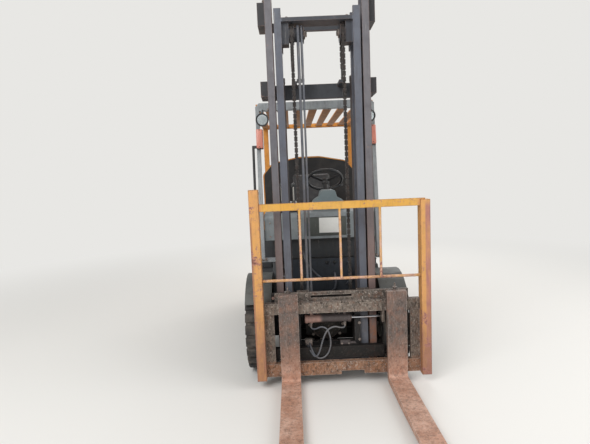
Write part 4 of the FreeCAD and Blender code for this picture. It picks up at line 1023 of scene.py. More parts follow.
@dataclass
class SteeringWheel:
    """Rim, three dished spokes and a hub with a horn button."""

    place: Vector = field(default_factory=lambda: spot(95, 770, 1370))
    lean: float = -math.atan2(190, 270)
    ring: float = 0.158
    tube: float = 0.0125
    level: float = 0.031

    def frame(self) -> Matrix:
        """Where the wheel's own frame stands."""
        return move(self.place) @ Matrix.Rotation(self.lean, 4, "X")

    def build(self) -> None:
        """The wheel and its button."""
        shape, bright = bmesh.new(), bmesh.new()
        here = self.frame()
        add_ring(shape, self.ring, self.tube, here @ move(Vector((0, 0, self.level))), 72, 14)
        add_turned(shape, ((0.0, -0.0195), (0.030, -0.0195), (0.035, -0.008), (0.036, 0.012),
                           (0.030, 0.024), (0.0, 0.024)), here, 32, closed=False)
        for number in range(3):
            turn = Matrix.Rotation(QUARTER + FULL / 3 * number, 4, "Z")
            add_slab(shape, (0.138, 0.026, 0.010),
                     here @ turn @ move(Vector((0.090, 0, 0.021)))
                     @ Matrix.Rotation(-0.12, 4, "Y"), 0.003)
        make_piece("steering_ring", shape, Body.STEERING, "dark_plastic",
                   40.0, ("steering_wheel",))
        add_turned(bright, ((0.0, 0.0242), (0.022, 0.0242), (0.024, 0.027), (0.018, 0.030),
                            (0.0, 0.031)), here, 32, closed=False)
        make_piece("horn_button", bright, Body.STEERING, "dial_face")


@dataclass
class Column:
    """Dome with its dials, the column's tube and boot, the direction lever and its knob."""

    middle: float = 95.0
    base: float = 1140.0
    front: float = 440.0
    back: float = 660.0
    outline: tuple[tuple[float, float], ...] = (
        (132, 0), (132, 70), (112, 92), (74, 112), (62, 158), (50, 170))

    def dome(self) -> None:
        """Moulded cover, drawn as the outline pushed back, with its edges rounded."""
        shape = bmesh.new()
        half = [(x, z) for x, z in self.outline]
        whole = half + [(-x, z) for x, z in half[::-1]]
        verts = [shape.verts.new(spot(self.middle + x, self.front, self.base + z))
                 for x, z in whole]
        face = shape.faces.new(verts)
        grown = bmesh.ops.extrude_face_region(shape, geom=[face])
        moved = [g for g in grown["geom"] if isinstance(g, bmesh.types.BMVert)]
        bmesh.ops.translate(shape, verts=moved, vec=(0, (self.back - self.front) / 1000, 0))
        edges = [e for e in shape.edges if max(v.co.z for v in e.verts) > (self.base + 5) / 1000]
        bmesh.ops.bevel(shape, geom=edges, offset=0.006, segments=3, profile=0.5,
                        affect="EDGES", material=-1)
        make_piece("dash_dome", shape, Body.TRUCK, "dash_plastic", 50.0,
                   ("steering_column",))

    def tube(self) -> None:
        """Column tube, its rubber boot and the stalk of the direction lever."""
        shape = bmesh.new()
        wheel = SteeringWheel()
        here = wheel.frame()
        length = math.hypot(190, 270) / 1000
        add_tube(shape, 0.011, 0.044, here @ move(Vector((0, 0, -0.008))), 20)
        add_tube(shape, 0.027, length - 0.115, here @ move(Vector((0, 0, -0.020
                 - (length - 0.115) / 2))), 28, 0.003)
        foot = -length + 0.105
        add_turned(shape, ((0.0, foot - 0.02), (0.052, foot - 0.02), (0.046, foot + 0.004),
                           (0.042, foot), (0.040, foot + 0.02), (0.036, foot + 0.016),
                           (0.034, foot + 0.036), (0.0, foot + 0.036)), here, 28, closed=False)
        stalk = here @ move(Vector((0.026, 0, -0.075))) @ Matrix.Rotation(1.25, 4, "Y")
        add_tube(shape, 0.005, 0.11, stalk @ move(Vector((0, 0, 0.055))), 10)
        add_tube(shape, 0.012, 0.034, stalk @ move(Vector((0, 0, 0.125))), 16, 0.004, 0.010)
        make_piece("column_tube", shape, Body.TRUCK, "dark_plastic", 40.0)

    def dials(self) -> None:
        """Three gauges and a key on the dome's face towards the driver."""
        bezels, faces, hands = bmesh.new(), bmesh.new(), bmesh.new()
        for x, z, radius in ((-56, 46, 30), (56, 46, 30), (0, 122, 26)):
            centre = spot(self.middle + x, self.back, self.base + z)
            place = move(centre) @ Facing.BACK.turn()
            size = radius / 1000
            add_turned(bezels, ((size, 0.0), (size + 0.004, 0.0), (size + 0.003, 0.006),
                                (size - 0.001, 0.006)), place, 40)
            add_tube(faces, size, 0.003, place @ move(Vector((0, 0, 0.0015))), 40)
            for mark in range(9):
                angle = math.radians(-120 + 30 * mark)
                spoke = place @ Matrix.Rotation(angle, 4, "Z")
                add_slab(hands, (0.0014, size * 0.2, 0.0006),
                         spoke @ move(Vector((0, size * 0.8, 0.0033))))
            add_slab(hands, (0.0018, size * 0.72, 0.0008),
                     place @ Matrix.Rotation(math.radians(-80), 4, "Z")
                     @ move(Vector((0, size * 0.3, 0.0042))))
        add_tube(bezels, 0.011, 0.008, move(spot(self.middle, self.back + 4, self.base + 30))
                 @ Facing.BACK.turn(), 20, 0.002)
        make_piece("dial_bezels", bezels, Body.TRUCK, "zinc")
        make_piece("dial_faces", faces, Body.TRUCK, "dial_face")
        make_piece("dial_marks", hands, Body.TRUCK, "paper")

    def build(self) -> None:
        """All of the column."""
        self.dome()
        self.tube()
        self.dials()


@dataclass
class Controls:
    """Hydraulic levers on their console, and the pedals' rubber treads."""

    feet: tuple[float, ...] = (-300, -250, -200)
    middle: float = 420.0
    top: float = 1140.0

    def levers(self) -> None:
        """Console with boots, steel sticks and their knobs."""
        console, sticks, knobs = bmesh.new(), bmesh.new(), bmesh.new()
        side = [(350, 0), (350, 50), (370, 68), (466, 90), (466, 0)]
        verts = [console.verts.new(spot(-330, y, self.top + z)) for y, z in side]
        face = console.faces.new(verts)
        grown = bmesh.ops.extrude_face_region(console, geom=[face])
        moved = [g for g in grown["geom"] if isinstance(g, bmesh.types.BMVert)]
        bmesh.ops.translate(console, verts=moved, vec=(0.16, 0, 0))
        edges = [e for e in console.edges if max(v.co.z for v in e.verts) > 1.142]
        bmesh.ops.bevel(console, geom=edges, offset=0.006, segments=2, profile=0.5,
                        affect="EDGES", material=-1)
        for foot in self.feet:
            base = spot(foot, self.middle, self.top + 72)
            add_tube(console, 0.019, 0.026, move(base + Vector((0, 0, 0.012))), 18, 0.003, 0.010)
            add_tube(sticks, 0.0058, 0.130, move(base + Vector((0, 0, 0.075))), 14)
            add_turned(knobs, ((0.0, 0.137), (0.008, 0.138), (0.0125, 0.146), (0.0138, 0.157),
                               (0.0125, 0.167), (0.007, 0.1725), (0.0, 0.173)),
                       move(base), 24, closed=False)
        make_piece("lever_console", console, Body.TRUCK, "dark_plastic", 35.0,
                   ("levers",))
        make_piece("lever_sticks", sticks, Body.TRUCK, "zinc")
        make_piece("lever_knobs", knobs, Body.TRUCK, "dial_face", 60.0)

    def treads(self) -> None:
        """Ribbed rubber on each pedal and a ribbed mat on the floor."""
        rubber = bmesh.new()
        front, floor = 292, 700
        for low, high, drop in ((-150, -70, 60), (40, 150, 50), (180, 240, 50)):
            start = Vector(((low + high) / 2, front + 100, floor + 70))
            end = Vector(((low + high) / 2, front + 130, floor + 120 + drop))
            along = end - start
            slope = math.atan2(along.z, along.y)
            middle = spot(*((start + end) / 2))
            place = move(middle) @ Matrix.Rotation(slope, 4, "X")
            wide, tall = (high - low - 6) / 1000, along.length / 1000 * 0.86
            add_slab(rubber, (wide, tall, 0.006), place @ move(Vector((0, 0, -0.0035))), 0.0015)
            for rib in range(6):
                shift = (rib - 2.5) * tall / 6.6
                add_slab(rubber, (wide * 0.86, 0.006, 0.004),
                         place @ move(Vector((0, shift, -0.008))), 0.001)
        add_box(rubber, (-330, 240, 700.3), (330, 738, 704), 0.001)
        for rib in range(30):
            x = -319 + 22 * rib
            add_box(rubber, (x - 4, 250, 703), (x + 4, 730, 707), 0.001)
        make_piece("floor_mat", rubber, Body.TRUCK, "mat_rubber")

    def build(self) -> None:
        """Levers and treads."""
        self.levers()
        self.treads()


@dataclass
class Cowl:
    """Dark plate let into the cowl's front with a blank sheet on it, and trim along its edge."""

    def build(self) -> None:
        """Plate, sheet and edge trim."""
        plate, sheet, trim = bmesh.new(), bmesh.new(), bmesh.new()
        add_box(plate, (-122.5, 231, 951.5), (213.5, 236, 1103.5), 0.002)
        make_piece("cowl_plate", plate, Body.TRUCK, "panel_paint")
        add_slab(sheet, (0.176, 0.0008, 0.122), move(spot(84, 230.5, 1036))
                 @ Matrix.Rotation(0.012, 4, "Y"), 0.0003)
        make_piece("blank_sheet", sheet, Body.TRUCK, "paper")
        for side in (1, -1):
            add_bolts(trim, Facing.LEFT if side > 0 else Facing.RIGHT, 13,
                      ((side * 445, 300, 1095), (side * 445, 500, 1095), (side * 445, 290, 990)))
        add_bolts(trim, Facing.FRONT, 11, [(x, 230.2, z) for x in (-400, 400)
                                           for z in (960, 1070)])
        make_piece("cowl_bolts", trim, Body.TRUCK, "bolt_steel")


@dataclass
class Headlamps:
    """Round work lamps hung from the guard's front beam."""

    place: float = 424.0
    back: float = 245.0
    height: float = 1893.0

    def build(self) -> None:
        """Bowls, rims, fluted glass and brackets."""
        bowls, rims, glass = bmesh.new(), bmesh.new(), bmesh.new()
        for side in (1, -1):
            centre = spot(side * self.place, self.back, self.height)
            here = move(centre) @ Facing.BACK.turn()
            add_turned(bowls, ((0.0, 0.003), (0.049, 0.003), (0.050, 0.017), (0.044, 0.034),
                               (0.034, 0.050), (0.020, 0.061), (0.0, 0.0618)), here, 40,
                       closed=False)
            add_turned(rims, ((0.040, 0.0014), (0.045, 0.0004), (0.0495, 0.0006),
                              (0.0518, 0.004), (0.0518, 0.013), (0.0503, 0.014),
                              (0.041, 0.005)), here, 48)
            add_turned(glass, ((0.0, 0.0010), (0.026, 0.0016), (0.0405, 0.0030),
                               (0.0405, 0.005), (0.0, 0.005)), here, 48, closed=False)
            x, y, z = side * self.place, self.back, self.height
            add_box(bowls, (x - 8.5, y + 22, z + 44), (x + 8.5, y + 34, z + 82), 0.0015)
            add_box(bowls, (x - 8.5, y + 23, z + 74.5), (x + 8.5, y + 129, z + 81.5), 0.0015)
            add_bolts(rims, Facing.DOWN, 15, ((x, y + 112, z + 74.5),))
        make_piece("lamp_bowls", bowls, Body.TRUCK, "lamp_metal", 40.0,
                   ("headlamps",))
        make_piece("lamp_rims", rims, Body.TRUCK, "dark_plastic")
        make_piece("lamp_glasses", glass, Body.TRUCK, "lamp_glass", 50.0)


@dataclass
class Indicators:
    """Turn lamps on the guard's front pillars: a dark base and a lens."""

    low: float = 1660.0
    high: float = 1826.0
    outside: float = 480.0

    def face(self, height: float) -> float:
        """Where the pillar's front face is at a height."""
        return 170 + (height - 784) * 160 / 1191

    def build(self) -> None:
        """Both lamps."""
        bases, lenses = bmesh.new(), bmesh.new()
        lean = -math.atan2(160, 1191)
        middle = (self.low + self.high) / 2
        for side in (1, -1):
            centre = spot(side * (self.outside - 27.5), self.face(middle), middle)
            here = move(centre) @ Matrix.Rotation(lean, 4, "X")
            add_slab(bases, (0.055, 0.012, 0.160), here @ move(Vector((0, -0.0065, 0))), 0.003)
            add_slab(lenses, (0.051, 0.034, 0.152), here @ move(Vector((0, -0.0295, 0))), 0.008,
                     rounds=4)
            for level in (-0.0765, 0.0765):
                stub = here @ move(Vector((0, -0.024, level * 0.86)))
                add_tube(bases, 0.004, 0.046, stub @ Facing.FRONT.turn(), 8)
        make_piece("indicator_bases", bases, Body.TRUCK, "dark_plastic",
                   replaces=("indicators",))
        make_piece("indicator_lenses", lenses, Body.TRUCK, "indicator_lens",
                   60.0)


@dataclass
class Tyre:
    """Pneumatic tyre about its axle, lugged or ribbed."""

    name: str
    body: Body
    centre: Vector
    radius: float
    half: float
    bead: float
    lugs: int = 0
    depth: float = 0.014

    def section(self) -> list[tuple[float, float]]:
        """Half of the closed cross-section: (radius, along the axle)."""
        crown = self.radius - (self.depth if self.lugs else 0.0)
        height = crown - self.bead
        wall = [(0.0, 0.72), (0.05, 0.82), (0.10, 0.84), (0.14, 0.93), (0.42, 1.0), (0.66, 0.99),
                (0.80, 0.97)]
        half = [(self.bead + share * height, out * self.half) for share, out in wall]
        if self.lugs:
            return half + [(crown - 0.008, 0.92 * self.half), (crown, 0.80 * self.half)]
        half[-1] = (self.radius - 0.027, 0.97 * self.half)
        tread = [(self.radius - 0.009, 0.89 * self.half), (self.radius, 0.80 * self.half)]
        for low, high in ((0.50, 0.44), (0.06, 0.0)):
            tread += [(self.radius, low * self.half), (self.radius - 0.008, low * self.half - 0.001),
                      (self.radius - 0.008, high * self.half)]
            if high:
                tread.append((self.radius, high * self.half - 0.001))
        return half + tread

    def add_lugs(self, shape: Shape, place: Matrix) -> None:
        """Bars on both halves of the tread, half a pitch apart."""
        pitch = FULL / self.lugs
        core = self.radius - self.depth - 0.008
        low, high = core * math.cos(0.4 * pitch), self.radius * math.cos(0.34 * pitch)
        wide = 2 * core * math.sin(0.4 * pitch)
        share = 2 * self.radius * math.sin(0.34 * pitch) / wide

        def bar(pattern: Shape) -> None:
            """One lug, standing along z."""
            add_slab(pattern, (wide, self.half - 0.003, high - low), Matrix.Identity(4), 0.0035,
                     (share, 0.93), 1)

        mesh = pattern_mesh("lug", bar)
        for side, start in ((-1, 0.0), (1, 0.5)):
            middle = Vector((0, (low + high) / 2, side * (self.half + 0.002) / 2))
            stamp(shape, mesh, [place @ Matrix.Rotation((n + start + 0.5) * pitch, 4, "Z")
                                @ move(middle) @ Matrix.Rotation(-QUARTER, 4, "X")
                                for n in range(self.lugs)])

    def build(self) -> None:
        """The tyre's carcass and tread."""
        shape = bmesh.new()
        half = self.section()
        outline = half + [(r, -a) for r, a in half[::-1] if a > 1e-6]
        place = move(self.centre) @ Facing.LEFT.turn()
        add_turned(shape, outline, place, 96)
        if self.lugs:
            self.add_lugs(shape, place)
        make_piece(f"{self.name}_rubber", shape, self.body, "tyre_rubber", 32.0,
                   (f"{self.name}_tyre",))


@dataclass
class Rim:
    """Pressed disc, rolled lip, nuts, hub and valve of one wheel."""

    name: str
    body: Body
    centre: Vector
    side: int
    bead: float
    half: float
    bore: float
    nuts: int
    driven: bool

    def build(self) -> None:
        """The rim, and its nuts and hub as a second piece."""
        shape, bright = bmesh.new(), bmesh.new()
        facing = Facing.LEFT if self.side > 0 else Facing.RIGHT
        place = move(self.centre) @ facing.turn()
        face, dish, web = self.half - 0.012, self.half * 0.35, -self.half + 0.012
        lip = self.bead
        outline = [(self.bore, dish), (self.bore + 0.030, dish), (lip * 0.68, dish - 0.002),
                   (lip * 0.80, dish - 0.010), (lip - 0.013, dish + 0.002),
                   (lip - 0.012, face - 0.004), (lip - 0.006, face), (lip, face - 0.002),
                   (lip, web + 0.002), (lip - 0.006, web)]
        if self.driven:
            outline += [(lip - 0.012, web + 0.004), (self.bore + 0.05, web + 0.006),
                        (self.bore, web)]
        else:
            outline += [(lip - 0.011, web + 0.004), (lip - 0.011, dish - 0.024),
                        (self.bore, dish - 0.020)]
        add_turned(shape, outline, place, 64)
        make_piece(f"{self.name}_disc", shape, self.body, "rim_paint", 35.0,
                   (f"{self.name}_rim",))
        ring = self.bead * 0.56
        scale = Matrix.Diagonal((0.024, 0.024, 0.024, 1))
        stamp(bright, HEX_BOLT, [place @ Matrix.Rotation(FULL / self.nuts * n, 4, "Z")
                                 @ move(Vector((ring, 0, dish - 0.001))) @ scale
                                 for n in range(self.nuts)])
        cap = self.bore + 0.012
        add_turned(bright, ((0.0, dish + 0.034), (self.bore + 0.001, dish + 0.030),
                            (self.bore + 0.001, dish - 0.002), (cap + 0.014, dish - 0.002),
                            (cap + 0.013, dish + 0.006), (cap, dish + 0.008),
                            (cap - 0.002, dish + 0.030), (cap - 0.010, dish + 0.038),
                            (0.0, dish + 0.040)), place, 40, closed=False)
        valve = place @ Matrix.Rotation(0.5, 4, "Z") @ move(Vector((self.bead - 0.024, 0, dish)))
        add_tube(bright, 0.004, 0.03, valve @ move(Vector((0, 0, 0.012))), 10)
        make_piece(f"{self.name}_nuts", bright, self.body, "bolt_steel", 35.0)


@dataclass
class Wheels:
    """The four wheels."""

    def build(self) -> None:
        """Drive wheels with lugs in front and ribbed steered ones behind."""
        for side, name, drive, steer in ((1, "left", Body.DRIVE_LEFT, Body.STEER_LEFT),
                                         (-1, "right", Body.DRIVE_RIGHT, Body.STEER_RIGHT)):
            ahead, behind = spot(side * 490, 0, 340), spot(side * 470, 1600, 270)
            Tyre(f"drive_{name}", drive, ahead, 0.340, 0.090, 0.1553, lugs=24).build()
            Rim(f"drive_{name}", drive, ahead, side, 0.155, 0.090, 0.0403, 8, True).build()
            Tyre(f"steer_{name}", steer, behind, 0.270, 0.080, 0.1153).build()
            Rim(f"steer_{name}", steer, behind, side, 0.115, 0.080, 0.0243, 6, False).build()


@dataclass
class Seat:
    """Cushion and back of grained vinyl, blown up a little so that they look stuffed."""

    low: float = 1050.0
    voxel: float = 0.006

    def puff(self, piece: bpy.types.Object, reach: float) -> None:
        """Swell a closed shape with cloth, cap its movement and keep the result.

        Args:
            piece: the padded piece, already in place.
            reach: the furthest that a point may move, in metres.
        """
        context = bpy.context
        context.view_layer.objects.active = piece
        piece.select_set(True)
        remesh = piece.modifiers.new("even", "REMESH")
        remesh.mode, remesh.voxel_size = "VOXEL", self.voxel
        bpy.ops.object.modifier_apply(modifier=remesh.name)
        rest = [v.co.copy() for v in piece.data.vertices]
        cloth = piece.modifiers.new("cloth", "CLOTH")
        cloth.settings.use_pressure = True
        cloth.settings.uniform_pressure_force = 4.0
        cloth.settings.effector_weights.gravity = 0.0
        for step in range(1, 21):
            context.scene.frame_set(step)
        bpy.ops.object.modifier_apply(modifier=cloth.name)
        for vert, start in zip(piece.data.vertices, rest):
            shift = vert.co - start
            if shift.length > reach:
                vert.co = start + shift.normalized() * reach
        context.scene.frame_set(1)
        piece.select_set(False)

    def pad(self, name: str, shape: Shape, reach: float, node: str) -> bpy.types.Object:
        """Make one padded piece of a rough closed shape.

        Args:
            name: the piece's name.
            shape: its rough shape.
            reach: how far it may swell, in metres.
            node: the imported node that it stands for.

        Returns:
            The piece.
        """
        piece = make_piece(name, shape, Body.HOOD, "seat_vinyl", 180.0, (node,))
        self.puff(piece, reach)
        return piece

    def cushion(self) -> None:
        """The seat's cushion, raised at both sides, and its base."""
        shape = bmesh.new()
        add_box(shape, (-226, 1010, 1060), (226, 1432, 1138), 0.03)
        self.pad("seat_pad", shape, 0.016, "seat_cushion")
        bolsters = bmesh.new()
        for side in (1, -1):
            low, high = sorted((side * 190, side * 233))
            add_box(bolsters, (low, 1016, 1092), (high, 1428, 1160), 0.018)
        piece = make_piece("seat_bolsters", bolsters, Body.HOOD, "seat_vinyl", 180.0)
        self.puff(piece, 0.006)
        base = bmesh.new()
        add_box(base, (-180, 1040, 1030.2), (180, 1400, 1052), 0.003)
        add_box(base, (-222, 1006, 1050), (222, 1436, 1066), 0.004)
        make_piece("seat_base", base, Body.HOOD, "dark_plastic")
        seam = bmesh.new()
        for y in (1110, 1200, 1290, 1380):
            add_box(seam, (-176, y - 2, 1148), (176, y + 2, 1153.5), 0.001)
        make_piece("seat_piping", seam, Body.HOOD, "dark_plastic")

    def back(self) -> None:
        """The seat's back, leaned like the solid that it stands for."""
        shape = bmesh.new()
        lean = Matrix.Rotation(-0.165, 4, "X")
        middle = spot(0, 1464, 1288)
        add_slab(shape, (0.412, 0.064, 0.352), move(middle) @ lean, 0.026)
        self.pad("seat_rest", shape, 0.012, "seat_back")

    def build(self) -> None:
        """Cushion and back."""
        self.cushion()
        self.back()


@dataclass
class Trim:
    """Bolts, caps, pins and glands that the solids leave out."""

    head: float = 22.0

    def mast(self) -> None:
        """Cylinder glands and bands, and tie bolts."""
        dark, bright = bmesh.new(), bmesh.new()
        for side in (1, -1):
            x = side * 255
            add_tube(dark, 0.0285, 0.040, move(spot(x, -106, 2108)), 32, 0.003)
            add_tube(dark, 0.0275, 0.016, move(spot(x, -106, 1500)), 32, 0.003)
            add_tube(dark, 0.0275, 0.016, move(spot(x, -106, 760)), 32, 0.003)
            facing = Facing.LEFT if side > 0 else Facing.RIGHT
            add_bolts(bright, facing, self.head, ((side * 345, -215, z) for z in (1900, 2612)))
            add_bolts(bright, Facing.FRONT, 17, [(side * 312, -290, z) for z in (150, 2618)])
        make_piece("mast_glands", dark, Body.MAST, "cylinder_paint")
        make_piece("mast_bolts", bright, Body.MAST, "bolt_steel", 30.0)

    def stage(self) -> None:
        """Sheave pins, their caps and the bolts of the rod brackets."""
        bright = bmesh.new()
        for side in (1, -1):
            facing = Facing.RIGHT if side > 0 else Facing.LEFT
            inner = 153 if side > 0 else 88
            place = move(spot(side * inner, -222, 2385)) @ facing.turn()
            add_tube(bright, 0.030, 0.010, place @ move(Vector((0, 0, 0.004))), 32, 0.002)
            add_tube(bright, 0.016, 0.018, place @ move(Vector((0, 0, 0.012))), 6, 0.002)
            add_bolts(bright, Facing.UP, 20, [(side * x, y, 2480) for x in (200, 262)
                                              for y in (-260, -180)])
            add_bolts(bright, Facing.UP, 24, ((side * 255, -106, 2340),))
        make_piece("stage_bolts", bright, Body.STAGE, "bolt_steel", 30.0)

    def carriage(self) -> None:
        """Roller hubs, slide pads, cylinder glands, ports, chain pins and the valve block."""
        bright, dark, pale, worn = (bmesh.new() for _ in range(4))
        for side in (1, -1):
            x = side * 170
            add_tube(bright, 0.009, 0.040, move(spot(x, -284, 590)), 14, 0.001)
            add_tube(bright, 0.013, 0.014, move(spot(x, -284, 587)), 6, 0.001)
            add_bolts(dark, Facing.FRONT, 16, [(side * x2, -350, 612) for x2 in (372,)])
            add_box(dark, (x - 9, -292, 596), (x + 9, -276, 611), 0.002)
        for x, way in ((-160, -1), (160, 1)):
            place = move(spot(x, -330, 450)) @ (Facing.RIGHT if way < 0 else Facing.LEFT).turn()
            add_turned(dark, ((0.0094, -0.022), (0.0275, -0.022), (0.0305, -0.019),
                              (0.0305, -0.005), (0.0275, -0.002), (0.0094, -0.002)), place, 32)
            if way > 0:
                add_turned(bright, ((0.0092, 0), (0.0165, 0), (0.0165, 0.006), (0.0092, 0.006)),
                           place, 24)
        for x in (-119, 118):
            add_tube(bright, 0.010, 0.020, move(spot(x, -330, 418)), 6, 0.001)
        add_box(pale, (84, -312, 232), (156, -286, 276), 0.004)
        add_tube(pale, 0.012, 0.05, move(spot(170, -299, 254)) @ Facing.LEFT.turn(), 16, 0.002)
        add_bolts(bright, Facing.FRONT, 11, ((96, -312, 254), (144, -312, 254)))
        for side in (1, -1):
            low, high = sorted((side * 189, side * 234))
            add_box(worn, (low, -309, 254), (high, -303, 556), 0.002)
            add_bolts(bright, Facing.FRONT, 15, [(side * 222, -309, z) for z in (280, 400, 530)])
        make_piece("roller_guards", worn, Body.CARRIAGE, "inner_rail_paint")
        make_piece("carriage_bolts", bright, Body.CARRIAGE, "bolt_steel", 30.0)
        make_piece("carriage_glands", dark, Body.CARRIAGE, "cylinder_paint")
        make_piece("valve_block", pale, Body.CARRIAGE, "cylinder_paint")

    def forks(self) -> None:
        """Fork lock pins on the top bar, and bolts of the backrest's posts and hooks."""
        bright, dark, rod = bmesh.new(), bmesh.new(), bmesh.new()
        add_tube(rod, 0.0086, 0.228, move(spot(254, -330, 450)) @ Facing.LEFT.turn(), 28, 0.0005)
        make_piece("shift_rod", rod, Body.SHIFTER, "rod_chrome")
        for side in (1, -1):
            x = 95 + side * 364
            add_tube(bright, 0.011, 0.052, move(spot(x, -376, 634)), 20, 0.002)
            add_tube(bright, 0.016, 0.008, move(spot(x, -376, 662)), 20, 0.002)
            add_ring(bright, 0.014, 0.003, move(spot(x, -376, 678)) @ Facing.LEFT.turn(), 24, 8)
            hook = 95 + side * 300
            add_bolts(dark, Facing.BACK, 20, ((hook, -355, 118),))
        add_bolts(dark, Facing.FRONT, 17, [(x, -375, 632) for x in (-300, -140, 330, 480)])
        for side in (1, -1):
            low = spot(95 + side * 545, -365, 560)
            add_slab(dark, (0.022, 0.006, 0.1), move(low), 0.002)
        make_piece("fork_pins", bright, Body.SHIFTER, "bolt_steel")
        make_piece("rest_bolts", dark, Body.SHIFTER, "carriage_steel", 30.0)

    def tilt(self) -> None:
        """Glands and ports of the tilt cylinders, in line with their rods."""
        run, rise = 430 + 95, 690 - 590
        lean = math.atan2(run, rise)
        for side, barrel in ((1, Body.TILT_BARREL_LEFT), (-1, Body.TILT_BARREL_RIGHT)):
            shape = bmesh.new()
            here = move(spot(side * 310, 430, 590)) @ Matrix.Rotation(lean, 4, "X")
            add_tube(shape, 0.0345, 0.028, here @ move(Vector((0, 0, 0.370))), 32, 0.003)
            add_tube(shape, 0.0335, 0.012, here @ move(Vector((0, 0, 0.052))), 32, 0.003)
            for along in (0.075, 0.34):
                add_tube(shape, 0.010, 0.020, here @ move(Vector((0, 0.037, along)))
                         @ Facing.BACK.turn(), 12, 0.002)
            name = "left" if side > 0 else "right"
            make_piece(f"tilt_gland_{name}", shape, barrel, "cylinder_paint")

    def truck(self) -> None:
        """Bolts of guard, side boxes and axle, tow pin, fuel cap and hood catch."""
        bolts, parts, splash = bmesh.new(), bmesh.new(), bmesh.new()
        for side in (1, -1):
            out = Facing.LEFT if side > 0 else Facing.RIGHT
            add_bolts(bolts, Facing.UP, 20, [(side * x, y, 784) for x in (440, 470)
                                             for y in (150, 196)])
            add_bolts(bolts, out, 15, [(side * 545, y, z) for y in (775, 1085, 1400)
                                       for z in (640, 840)])
            add_bolts(bolts, Facing.DOWN, 16, [(side * x, 360, 1975) for x in (120, 300)])
            low, high = sorted((side * 432, side * 436))
            add_box(parts, (low, 1180, 940), (high, 1260, 970), 0.001)
        for turn in range(10):
            angle = FULL / 10 * turn
            add_bolts(bolts, Facing.FRONT, 16, ((122 * math.cos(angle),
                                                 -138, 340 + 122 * math.sin(angle)),))
        add_turned(parts, ((0.0, 0.0), (0.105, 0.0), (0.104, 0.010), (0.080, 0.020),
                           (0.045, 0.034), (0.0, 0.038)),
                   move(spot(0, -138, 340)) @ Facing.FRONT.turn(), 40, closed=False)
        add_tube(parts, 0.013, 0.24, move(spot(0, 2060, 520)), 20, 0.002)
        add_ring(parts, 0.022, 0.005, move(spot(0, 2060, 664)) @ Facing.LEFT.turn(), 28, 8)
        cap = move(spot(488, 1330, 880))
        add_turned(parts, ((0.0, 0.0), (0.034, 0.0), (0.034, 0.006), (0.030, 0.008),
                           (0.030, 0.022), (0.026, 0.026), (0.0, 0.027)), cap, 32, closed=False)
        # Near-black ribbed plate behind the front axle, shaped as a splash flap: a dark sheet that
        # stands in for the shade over the floor seen there.
        add_box(splash, (-366, 152, 122), (366, 157, 508), 0.002)
        for x in (-330, -220, -110, 110, 220, 330):
            add_box(splash, (x - 3, 148, 140), (x + 3, 153, 500), 0.001)
        add_box(splash, (-262, 147, 478), (262, 153, 500), 0.001)
        make_piece("shade_filler_flap", splash, Body.TRUCK, "oily_iron")
        make_piece("truck_bolts", bolts, Body.TRUCK, "bolt_steel", 30.0)
        make_piece("truck_fittings", parts, Body.TRUCK, "cast_iron")

    def rear(self) -> None:
        """Tail lamps, the radiator's outlet grille, lifting bolts and the steps' treads."""
        bases, lenses, grille, panels = (bmesh.new() for _ in range(4))
        for side in (1, -1):
            x = side * 487
            add_box(bases, (x - 24, 1939.5, 1290), (x + 24, 1948, 1420), 0.002)
            add_box(lenses, (x - 21, 1947, 1293), (x + 21, 1968, 1352), 0.006)
            add_box(lenses, (x - 21, 1947, 1358), (x + 21, 1968, 1417), 0.006)
            add_bolts(grille, Facing.UP, 46, ((side * 230, 2010, 1080),))
            low, high = sorted((side * 394, side * 538))
            for rib in range(8):
                add_box(panels, (low, 448 + 23 * rib, 419.5), (high, 456 + 23 * rib, 425), 0.001)
            out = sorted((side * 544.5, side * 547.5))
            for front, back in ((800, 1075), (1105, 1390)):
                add_box(panels, (out[0], front, 625), (out[1], back, 855), 0.001)
            out = sorted((side * 546, side * 552))
            for slat in range(6):
                add_box(panels, (out[0], 1150, 660 + 26 * slat), (out[1], 1345, 668 + 26 * slat),
                        0.001)
            grip = sorted((side * 547, side * 556))
            add_box(grille, (grip[0], 900, 800), (grip[1], 980, 816), 0.003)
        add_box(grille, (-226, 1949.5, 1166), (226, 1954, 1424), 0.002)
        for slat in range(9):
            level = 1184 + 25.5 * slat
            add_box(grille, (-208, 1952, level), (208, 1962, level + 12), 0.0015)
        add_bolts(panels, Facing.BACK, 15, [(x, 1954, z) for x in (-216, 216)
                                            for z in (1176, 1414)])
        make_piece("tail_bases", bases, Body.TRUCK, "dark_plastic")
        make_piece("tail_lenses", lenses, Body.TRUCK, "tail_lens")
        make_piece("outlet_grille", grille, Body.TRUCK, "shroud_plastic")
        make_piece("side_doors", panels, Body.TRUCK, "frame_paint")

    def build(self) -> None:
        """All of it."""
        self.rear()
        self.mast()
        self.stage()
        self.carriage()
        self.forks()
        self.tilt()
        self.truck()


@dataclass
class FloorHoses:
    """Valve hoses and cables that hang in sight behind the mast, each ending in the truck."""

    routes: tuple[tuple[float, tuple[tuple[float, float, float], ...]], ...] = (
        (0.008, ((-138, 272, 818), (-138, 240, 818), (-137, 170, 818), (-134, 118, 800),
                 (-124, 110, 758), (-84, 108, 706), (-42, 108, 660), (-10, 114, 632),
                 (-2, 126, 616), (-2, 148, 612))),
        (0.009, ((212, 148, 742), (212, 125, 740), (218, 110, 715), (224, 104, 680),
                 (222, 104, 640), (210, 110, 600), (198, 125, 575), (196, 148, 566))),
        (0.009, ((100, 148, 660), (100, 124, 658), (105, 108, 630), (105, 104, 590),
                 (98, 108, 550), (88, 124, 526), (84, 148, 520))))

    def build(self) -> None:
        """Each hose on one smooth curve, with its length read from it."""
        for number, (radius, route) in enumerate(self.routes):
            hose, length = free_hose(f"valve_hose_{number}", route, radius)
            carry(hose, Body.TRUCK)


